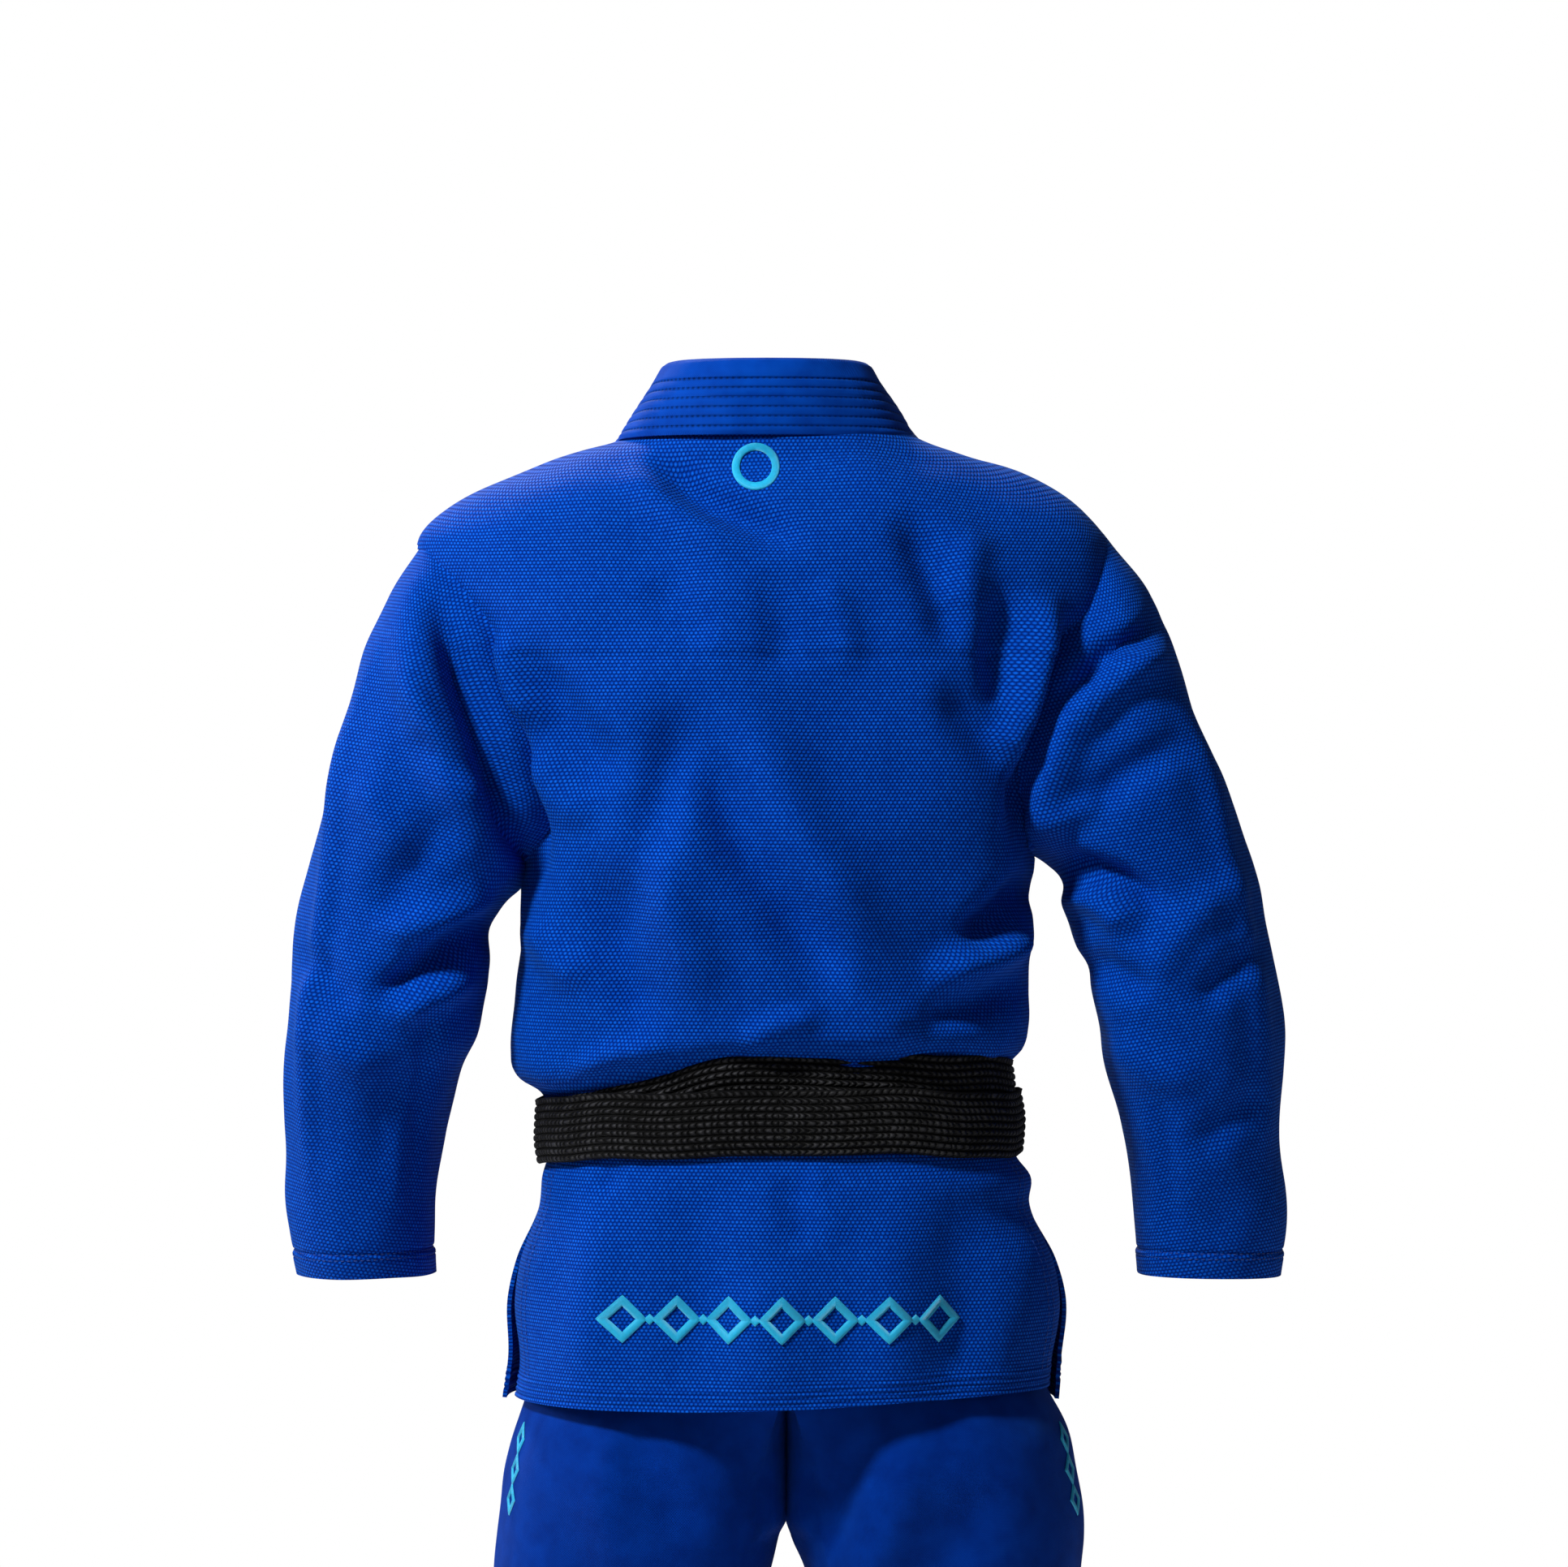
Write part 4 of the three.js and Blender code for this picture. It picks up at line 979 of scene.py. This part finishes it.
def band_relief(across):
    """The band's face between its sewn rows; across runs from the seam to the free edge."""
    mm = across * BAND
    rolled = 1.4 * line_at(mm, 0, 1.6) + 1.6 * line_at(mm, BAND, 1.6)
    return sum(-0.9 * line_at(mm, row, 0.8) for row in SEWN_ROWS) - rolled


def lapel_points(table, point, side, heights, lift):
    """A lapel's rows of points down its length, from its seam edge to its free edge, lifted off the front."""
    edge = track(EDGE, heights)[0]
    rows = []
    for across in BAND_ROWS:
        degrees = front_degrees(table, edge + BAND * (1 - across), heights, side) * side
        p = point(degrees, heights)
        p[..., 1] -= lift + front_layer(side, p[..., 0], p[..., 2])
        rows.append(p)
    return np.array(rows)


def collar_edges(side):
    """Control points of the seam edge and the free edge, from the middle of the back to the chest."""
    seam, free = [], []
    for degrees in (0, 20, 40, 60, 78, 92):
        s, c = math.sin(math.radians(degrees)), math.cos(math.radians(degrees))
        seam.append((9 + side * 102 * s, 6 + 76 * c, -2 - 2 * (degrees / 92) ** 4))
        free.append((8.5 + side * 70.5 * s**0.92, 6 + 63 * c, 51 - 5 * (degrees / 92) ** 6))
    if side > 0:
        seam += [(115, -22, -6), (117, -45, -13), (123, -69, -33)]
        free += [(80, -22, 34), (80, -50, 8), (78.5, -76, -24)]
    else:
        seam += [(-100, -22, -6), (-105, -45, -13), (-118, -69, -33)]
        free += [(-68, -22, 34), (-74, -50, 8), (-77, -74, -24)]
    return seam, free


JOIN_Z = -62.0
# The collar's curves run on to this lapel point so that they meet it without a kink; their last points are left out.
JOIN_POINT = 14
COLLAR_POINTS = 130
COLLAR_KEPT = 118
LAPEL_LIFT = 5.0
halves = []
for side in (1, -1):
    low = lapel_points(TORSO, front_torso_point, side, np.linspace(JOIN_Z, -492, 150), LAPEL_LIFT)
    seam, free = collar_edges(side)
    a = curve(seam + [tuple(low[0, 0]), tuple(low[0, JOIN_POINT])], COLLAR_POINTS)[:COLLAR_KEPT]
    b = curve(free + [tuple(low[-1, 0]), tuple(low[-1, JOIN_POINT])], COLLAR_POINTS)[:COLLAR_KEPT]
    top = np.array([a * (1 - across) + b * across for across in BAND_ROWS])
    bulge = np.sin(BAND_ROWS * math.pi)[:, None, None]
    outward = a + b - np.array([16.0, 12.0, 0.0])
    outward[:, 2] = 20
    outward /= np.linalg.norm(outward, axis=-1, keepdims=True)
    top = top + bulge * outward[None] * 2.5
    halves.append(np.concatenate([top, low[:, JOIN_POINT:]], axis=1))
whole = np.concatenate([halves[1][:, ::-1], halves[0][:, 1:]], axis=1)
inside_out = bool(grid_normals(whole, False)[22, whole.shape[1] // 2, 1] < 0)
relief = (BAND_THICKNESS / 2 + band_relief(BAND_ROWS)[:, None]) * np.ones((1, whole.shape[1]))
whole = relieved(whole, relief, flip=inside_out)
band = shell("collar_band", whole, BAND_THICKNESS, COLLAR, flip=inside_out, uv=strip_map(whole, BAND))
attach(band, "torso")
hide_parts("collar", "left_lapel", "right_lapel")
declare(whole)

for side, word in SIDES:
    heights = np.linspace(-488, FRONT_HEM, 70)
    grid = lapel_points(SKIRT, front_skirt_point, side, heights, LAPEL_LIFT + front_flare(heights))
    inside_out = bool(grid_normals(grid, False)[22, 20, 1] > 0)
    grid = relieved(grid, band_relief(BAND_ROWS)[:, None] * np.ones((1, len(heights))), flip=inside_out)
    made = shell(f"{word}_lapel_end_cloth", grid, BAND_THICKNESS, COLLAR, flip=inside_out, uv=strip_map(grid, BAND))
    declare(grid)
    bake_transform(made)
    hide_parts(f"{word}_lapel_end")

# ---------------------------------------------------------------- belt
BELT_WIDTH = 45.0
TURN_ROWS = 46
# The middle of each turn's width: angle round the waist and height.
OUTER_TURN = [(-180, -472), (-90, -476), (0, -470.5), (90, -480.5), (180, -472)]
INNER_TURN = [
    (-180, -462), (-90, -455), (-55, -449), (-18, -445), (-2, -443),
    (11, -445), (30, -458), (58, -470), (90, -478), (180, -462),
]


def belt_turn(name, offset, middle, node, seed):
    """One turn of the belt round the waist: a bowed band with sewn rows between its ribs."""
    d, r = np.meshgrid(np.arange(480) * 0.75, np.linspace(-1, 1, TURN_ROWS))
    signed = (d + 180) % 360 - 180
    edge = 0.9 * np.sin(np.radians(signed * 5 + seed * 40)) + 0.6 * np.sin(np.radians(signed * 11 + seed))
    z = track(middle, signed)[0] + r * BELT_WIDTH / 2 + edge
    p = section(TORSO, signed, -470.0 + 0 * z, offset)
    p[..., 2] = z
    bow = 2.6 * (1 - r * r) + ripples(p, 60, 2.6, seed) + ripples(p, 18, 0.9, seed + 3)
    channels = 1.3 * np.abs(np.sin((r + 1) * BELT_WIDTH / 2 / BELT_ROW * math.pi)) ** 0.5
    grid = relieved(p, bow + channels + 1.2 * line_at(r, 0.95, 0.035), wrap=True, flip=True)
    uv = cloth_map(grid, True)
    uv[..., 1] = np.linspace(0, BELT_WIDTH, TURN_ROWS)[:, None]
    made = shell(name, grid, 4.0, BELT, wrap=True, flip=True, uv=uv)
    declare(grid, wrap=True)
    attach(made, "torso")
    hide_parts(node)


belt_turn("belt_turn_inner", 2.5, INNER_TURN, "belt_inner_turn", 2.0)
belt_turn("belt_turn_outer", 8.5, OUTER_TURN, "belt_outer_turn", 5.0)


def strap(name, points, across, width, thickness, material, bow=0.0):
    """A flat woven strap along a path; across says which way its width runs at each end."""
    line = curve(points, max(12, int(len(points) * 14)))
    a0, a1 = np.array(across[0], float), np.array(across[1], float)
    t = np.linspace(0, 1, len(line))[:, None]
    side = a0 * (1 - t) + a1 * t
    ahead = np.gradient(line, axis=0)
    ahead /= np.linalg.norm(ahead, axis=1, keepdims=True)
    side = side - (side * ahead).sum(axis=1, keepdims=True) * ahead
    side /= np.linalg.norm(side, axis=1, keepdims=True)
    outward = np.cross(side, ahead)
    grid = np.array([line + side * width / 2 * k + outward * bow * (1 - k * k) for k in np.linspace(-1, 1, 13)])
    grid = grid + outward[None] * thickness / 2
    inside_out = bool((grid_normals(grid, False) * outward[None]).sum() < 0)
    return shell(name, grid, thickness, material, flip=inside_out, uv=strip_map(grid, width)), grid


KNOT_Y = -131.0
STRAP_THICKNESS = 4.2
for side, word in SIDES:
    stations = ((20, 12, -486), (27, 14, -500), (38, 17, -560), (52, 19, -630), (63, 21, -700), (71, 23, -761))
    path = [(x * side, KNOT_Y - ahead, z) for x, ahead, z in stations]
    across = ((1, 0, 0.1 * side), (1, 0.12 * side, 0.16 * side))
    made, grid = strap(f"{word}_tail", path, across, 44, STRAP_THICKNESS, BELT, bow=-1.2)
    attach(made, f"{word}_belt_tail_body")
    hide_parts(f"{word}_belt_tail")
    declare(grid)
# the knot: a wrap that comes down over the front, and a folded end slanting out of each side of it
stations = (
    (-6, -2, -442), (-5, 12, -443), (-2, 20, -452), (1, 22, -470), (3, 20, -486), (5, 12, -495), (6, -2, -496),
)
path = [(x, KNOT_Y - ahead, z) for x, ahead, z in stations]
made, grid = strap("knot_wrap", path, ((1, 0, 0.2), (1, 0, 0.2)), 42, STRAP_THICKNESS, BELT, bow=-2.0)
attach(made, "torso")
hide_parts("belt_knot")
declare(grid)
for side, word in SIDES:
    stations = ((-14, 12, -462), (4, 14, -466), (20, 13, -474), (29, 11, -490))
    path = [(x * side, KNOT_Y - ahead, z) for x, ahead, z in stations]
    across = ((0, 0, 1), (0.75 * side, 0, 0.66))
    made, grid = strap(f"knot_fold_{word}", path, across, 40, STRAP_THICKNESS, BELT, bow=-2.2)
    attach(made, "torso")
    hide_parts("belt_knot")
    declare(grid)

# ---------------------------------------------------------------- trousers
# Height, half width on the wearer's left and right, half depth behind and in front, and squareness.
HIPS = [
    (-452, 138, 138, 92, 90, 2.3),
    (-500, 142, 142, 94, 93, 2.3),
    (-560, 153, 153, 102, 101, 2.35),
    (-620, 165, 167, 110, 108, 2.4),
    (-660, 178, 184, 114, 111, 2.45),
    (-690, 187, 200, 116, 113, 2.5),
    (-746, 192, 212, 117, 113, 2.5),
]
# Each leg: height, inner and outer reach from the middle, middle y, half depth.
LEGS = {
    1: [
        (-640, -5, 172, 2, 112), (-676, -5, 184, 2, 115), (-712, -5, 190, 2, 115), (-746, -4, 193, 2, 113),
        (-763, 0, 195, 2, 112),
        (-780, 3, 197, 2, 110), (-830, 14, 199, 1, 105), (-900, 23, 203, 0, 100), (-1000, 35, 207, -4, 93),
        (-1060, 44, 210, -5, 89),
        (-1130, 53, 213, -2, 86), (-1250, 70, 218, 6, 80), (-1350, 83, 223, 9, 76), (-1420, 89, 227, 10, 75),
    ],
    -1: [
        (-640, 5, 176, 2, 112), (-676, 5, 197, 2, 115), (-712, 5, 206, 2, 115), (-746, 5, 212, 2, 113),
        (-763, 8, 213, 2, 112),
        (-780, 14, 213, 2, 110), (-830, 20, 212, 1, 105), (-900, 25, 209, 0, 100), (-1000, 35, 208, -4, 93),
        (-1060, 44, 210, -5, 89),
        (-1130, 53, 213, -2, 86), (-1250, 70, 218, 6, 80), (-1350, 83, 223, 9, 76), (-1420, 89, 227, 10, 75),
    ],
}
TROUSER_FOLDS = [
    ([(104, -672), (96, -697), (78, -727), (48, -752)], 13, -5.5, 0.4),
    ([(130, -690), (116, -740), (84, -790), (50, -830)], 20, 4.6, 0.3),
    ([(160, -720), (130, -800), (96, -880)], 24, -4.6, 0.35),
    ([(-58, -676), (-48, -712), (-34, -748), (-26, -780)], 13, -6.0, 0.4),
    ([(-92, -672), (-84, -724), (-62, -776), (-40, -810)], 16, 5.0, 0.3),
    ([(-150, -690), (-120, -760), (-84, -830)], 24, -4.6, 0.35),
    ([(180, -1000), (140, -1040), (90, -1050)], 16, -5.5, 0.4),
    ([(190, -1070), (130, -1084), (70, -1070)], 16, 5.0, 0.3),
    ([(196, -1100), (150, -1130), (80, -1120)], 16, -5.0, 0.4),
    ([(-180, -1000), (-140, -1036), (-90, -1054)], 16, -5.5, 0.4),
    ([(-190, -1074), (-130, -1080), (-70, -1064)], 16, 5.0, 0.3),
    ([(-196, -1110), (-150, -1126), (-80, -1128)], 16, -5.0, 0.4),
    ([(200, -1330), (150, -1360), (100, -1350)], 18, 4.6, 0.3),
    ([(-210, -1340), (-150, -1366), (-100, -1356)], 18, 4.6, 0.3),
]


SEAM_X = -5


def trouser_relief(p):
    """The trousers' folds, which die out at the waist and where the two halves meet in the middle."""
    x, z = p[..., 0], p[..., 2]
    height = 1.5 * ripples(p, 100, 4.2, 31.3) + ripples(p, 42, 1.0, 15.1) + folds_at(p, TROUSER_FOLDS)
    apart = smooth((-745 - z) / 60)
    return height * smooth((-470 - z) / 60) * np.maximum(apart, smooth((np.abs(x - SEAM_X) - 3) / 34))


ARC = 112
INSIDE = 24
LEG_SQUARENESS = 2.4
SPLIT_Z = -634


def trouser_ring(side, z):
    """Rings of one trouser half: the outer arc from mid back round to mid front, then the inside leg."""
    zz = z[:, None]
    u = np.linspace(0, 1, ARC)[None, :]
    hips = section(HIPS, side * 180 * u, zz)
    hips[..., 0] += SEAM_X * smooth((-zz - 560) / 110)
    inner, outer, y, b = [v[..., None] for v in track(LEGS[side], z)]

    def leg(turn):
        angle = np.radians(turn)
        c, s = np.cos(angle), np.sin(angle)
        x = (inner + outer) / 2 + (outer - inner) / 2 * np.sign(c) * np.abs(c) ** (2 / LEG_SQUARENESS)
        return np.stack([side * x, y + b * np.sign(s) * np.abs(s) ** (2 / LEG_SQUARENESS), zz + 0 * x], axis=-1)

    wide = leg(140 - 280 * u)
    v = np.linspace(0, 1, INSIDE + 2)[None, 1:-1]
    narrow = leg(-140 - 80 * v)
    t = smooth((SPLIT_Z - zz) / 92)[..., None]
    arc = hips * (1 - t) + wide * t
    plane = arc[:, -1:] * (1 - v[..., None]) + arc[:, :1] * v[..., None]
    inside = plane * (1 - t) + narrow * t
    # just below the crotch the two inside legs still touch
    meeting = smooth((zz + 762) / 18) * np.sqrt(np.sin(math.pi * v))
    inside[..., 0] += (SEAM_X - 1.5 * side - inside[..., 0]) * meeting * smooth((-zz - 620) / 20)
    return np.concatenate([arc, inside], axis=1)


LEG_CUT = -950
for side, word in SIDES:
    rows = np.linspace(-454, LEG_CUT, 150)
    p = trouser_ring(side, rows)
    grid = relieved(p, trouser_relief(p), wrap=True, flip=side < 0)
    hole = np.zeros((len(rows) - 1, ARC + INSIDE), bool)
    hole[rows[:-1] > SPLIT_Z, ARC - 1 :] = True
    made = shell(f"{word}_trouser_top", grid, 2.5, DRILL, wrap=True, flip=side < 0, hole=hole)
    declare(grid, wrap=True, hole=hole)
    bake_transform(made)
    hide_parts(f"{word}_thigh_top", f"{word}_thigh")
    if side > 0:
        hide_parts("seat_back", "seat_front", "crotch_gusset")
    p = trouser_ring(side, np.linspace(LEG_CUT, -1420, 150))
    grid = relieved(p, trouser_relief(p), wrap=True, flip=side < 0)
    made = shell(f"{word}_trouser_leg", grid, 2.5, DRILL, wrap=True, flip=side < 0)
    declare(grid, wrap=True)
    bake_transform(made)
    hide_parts(f"{word}_knee", f"{word}_shin", f"{word}_trouser_hem")
    normals = grid_normals(grid, True) * side
    # two sewn rows above the hem
    lines = [(np.vstack([grid[k], grid[k][:1]]), np.vstack([normals[k], normals[k][:1]])) for k in (139, 141)]
    made = stitches(f"{word}_hem_stitches", lines, STITCH)
    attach(made, f"{word}_calf_body")

# ---------------------------------------------------------------- embroidery: plain generic shapes
THREAD_DEPTH = 0.8


def raised(v, low, high):
    """The height of a satin stitch over the cloth across its width, v from -1 to 1."""
    return low + high * np.sqrt(1 - v * v)


def on_back(table, relief, x, z, lift):
    """A point on the back of a body section with its folds, lifted off the cloth."""
    degrees = 180 - front_degrees(table, np.abs(x), z, np.where(np.mean(x) > 0, 1, -1))
    p = section(table, degrees * np.sign(x), z)
    left, right, back, front, square = track(table, z)
    w = np.where(x > 0, left, right)
    steep = np.abs(p[..., 0] / w) ** (square - 1) * np.sign(p[..., 0]) / w
    outward = np.stack([steep, np.abs((p[..., 1] - CENTRE_Y) / back) ** (square - 1) / back, 0 * x], axis=-1)
    outward /= np.linalg.norm(outward, axis=-1, keepdims=True)
    return p + outward * (relief(p) + lift)[..., None]


def lozenge(x, z, half_width, half_height, width):
    """The flat outline of a lozenge sewn as one closed stroke: its points, and how far across the stroke they lie."""
    centre = np.array([x, z], float)
    corners = np.array([(half_width, 0), (0, half_height), (-half_width, 0), (0, -half_height)], float)
    line = []
    for a, b in zip(corners, np.roll(corners, -1, axis=0)):
        for f in np.linspace(0, 1, 7, endpoint=False):
            line.append(a * (1 - f) + b * f)
    line = np.array(line)
    v = np.linspace(-1, 1, 7)
    reach = width / 2 * math.hypot(1, 1) / np.abs(corners).sum(axis=1).mean() * 1.15
    grid = np.array([centre + line * (1 + k * reach) for k in v])
    return grid, v[:, None] * np.ones((1, len(line)))


EMBROIDERY = {"count": 7, "pitch": 36.0, "z": -603.5}
for k in range(EMBROIDERY["count"]):
    x = (k - (EMBROIDERY["count"] - 1) / 2) * EMBROIDERY["pitch"] - 2
    flat, v = lozenge(x, EMBROIDERY["z"], 12.5, 12.5, 4.0)
    shapes = [("open", flat, v)]
    if k:
        t, w = np.meshgrid(np.linspace(-1, 1, 13), np.linspace(-1, 1, 9))
        dot_x = x - EMBROIDERY["pitch"] / 2 + t * 3.8
        dot = np.stack([dot_x, EMBROIDERY["z"] + w * (0.3 + 3.5 * (1 - np.abs(t)))], axis=-1)
        shapes.append(("dot", dot[::-1], w[::-1]))
    for kind, flat, v in shapes:
        grid = on_back(SKIRT, skirt_relief, flat[..., 0], flat[..., 1], raised(v, 0.4, 1.0))
        closed = kind == "open"
        made = shell(f"skirt_{kind}_lozenge_{k + 1}", grid, THREAD_DEPTH, THREAD, wrap=closed, flip=closed)
        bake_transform(made)
        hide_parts("skirt_embroidery")

RING = {"x": 16, "z": -24, "radius": 13.8, "half_width": 2.7}
a, v = np.meshgrid(np.arange(72) * 5.0, np.linspace(-1, 1, 9))
radius = RING["radius"] + RING["half_width"] * v
x = RING["x"] + radius * np.sin(np.radians(a))
z = RING["z"] + radius * np.cos(np.radians(a))
grid = on_back(TORSO, torso_relief, x, z, raised(v, 0.5, 1.3))
ring = shell("back_ring", grid, THREAD_DEPTH, THREAD, wrap=True, flip=True)
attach(ring, "torso")
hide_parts("back_roundel")

THIGH_MARK_TOP = -660
THIGH_ROW = 2.0
THIGH_COLUMN = 46
for side, word in SIDES:
    p = trouser_ring(side, THIGH_MARK_TOP - THIGH_ROW * np.arange(56))
    skin = relieved(p, trouser_relief(p), wrap=True, flip=side < 0)
    outward = grid_normals(skin, True) * side
    arc = np.r_[0, np.cumsum(np.linalg.norm(np.diff(skin[28, :ARC], axis=0), axis=-1))]
    for k in range(3):
        flat, v = lozenge(arc[THIGH_COLUMN] + 2, -691 - 21 * k, 7.5, 8.5, 3.4)
        column = np.interp(flat[..., 0], arc, np.arange(ARC))
        row = (THIGH_MARK_TOP - flat[..., 1]) / THIGH_ROW
        c0, r0 = column.astype(int), row.astype(int)
        fc, fr = (column - c0)[..., None], (row - r0)[..., None]

        def at(field):
            """A field of the trouser grid, read between its rows and columns."""
            top = field[r0, c0] * (1 - fc) + field[r0, c0 + 1] * fc
            return top * (1 - fr) + (field[r0 + 1, c0] * (1 - fc) + field[r0 + 1, c0 + 1] * fc) * fr

        grid = at(skin) + at(outward) * raised(v, 0.4, 1.0)[..., None]
        inside_out = bool((grid_normals(grid, True) * at(outward)).sum() < 0)
        made = shell(f"{word}_thigh_lozenge_{k + 1}", grid, THREAD_DEPTH, THREAD, wrap=True, flip=inside_out)
        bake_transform(made)
        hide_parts(f"{word}_thigh_bar")

# ---------------------------------------------------------------- eyelets, waistband and loops
for name in ("left_drawcord_eyelet", "right_drawcord_eyelet"):
    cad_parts[name].data.materials.clear()
    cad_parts[name].data.materials.append(STEEL)
d, z = np.meshgrid(np.arange(0, 360, 3.0), np.linspace(-452, -492, 27))
signed = (d + 180) % 360 - 180
p = section(HIPS, signed, z)
groove = sum(-0.7 * line_at(z, row, 1.0) for row in (-455, -463, -471, -479, -488))
grid = relieved(p, 1.2 + groove + ripples(p, 40, 1.0, 2.2), wrap=True, flip=False)
made = shell("waistband_cloth", grid, 4.0, DRILL, wrap=True)
declare(grid, wrap=True)
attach(made, "torso")
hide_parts("waistband")
for side, word in SIDES:
    front_y = section(HIPS, np.array([180 - side * 24.0]), np.array([-472.0]))[0, 1]
    stations = ((-1, -454), (3, -457), (6, -464), (6, -480), (3, -487), (-1, -490))
    path = [(58 * side, front_y - ahead, z) for ahead, z in stations]
    across = (1, 0.3 * side, 0)
    made, grid = strap(f"{word}_loop", path, (across, across), 14, 2.0, DRILL)
    declare(grid)
    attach(made, "torso")
    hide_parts(f"{word}_belt_loop")

# ---------------------------------------------------------------- floor
floor_material = Nodes("pale_floor")
speck = floor_material.noise(30.0, 4.0)
pale = floor_material.ramp(speck, [(0.3, (0.78, 0.78, 0.78)), (0.7, (0.82, 0.82, 0.82))])
floor_material.finish(pale, 0.9, floor_material.bump(speck, 0.0005, 0.2), 0.3)
FLOOR = {"radius": 1700, "z": -1423.0, "corners": 96}
turns = np.linspace(0, 2 * math.pi, FLOOR["corners"] + 1)[:-1]
disc = [(FLOOR["radius"] * math.cos(a), FLOOR["radius"] * math.sin(a), FLOOR["z"]) for a in turns]
corners = list(range(FLOOR["corners"]))
floor = make_mesh("floor", disc, [corners], [(0, 0)] * len(corners), floor_material.material)
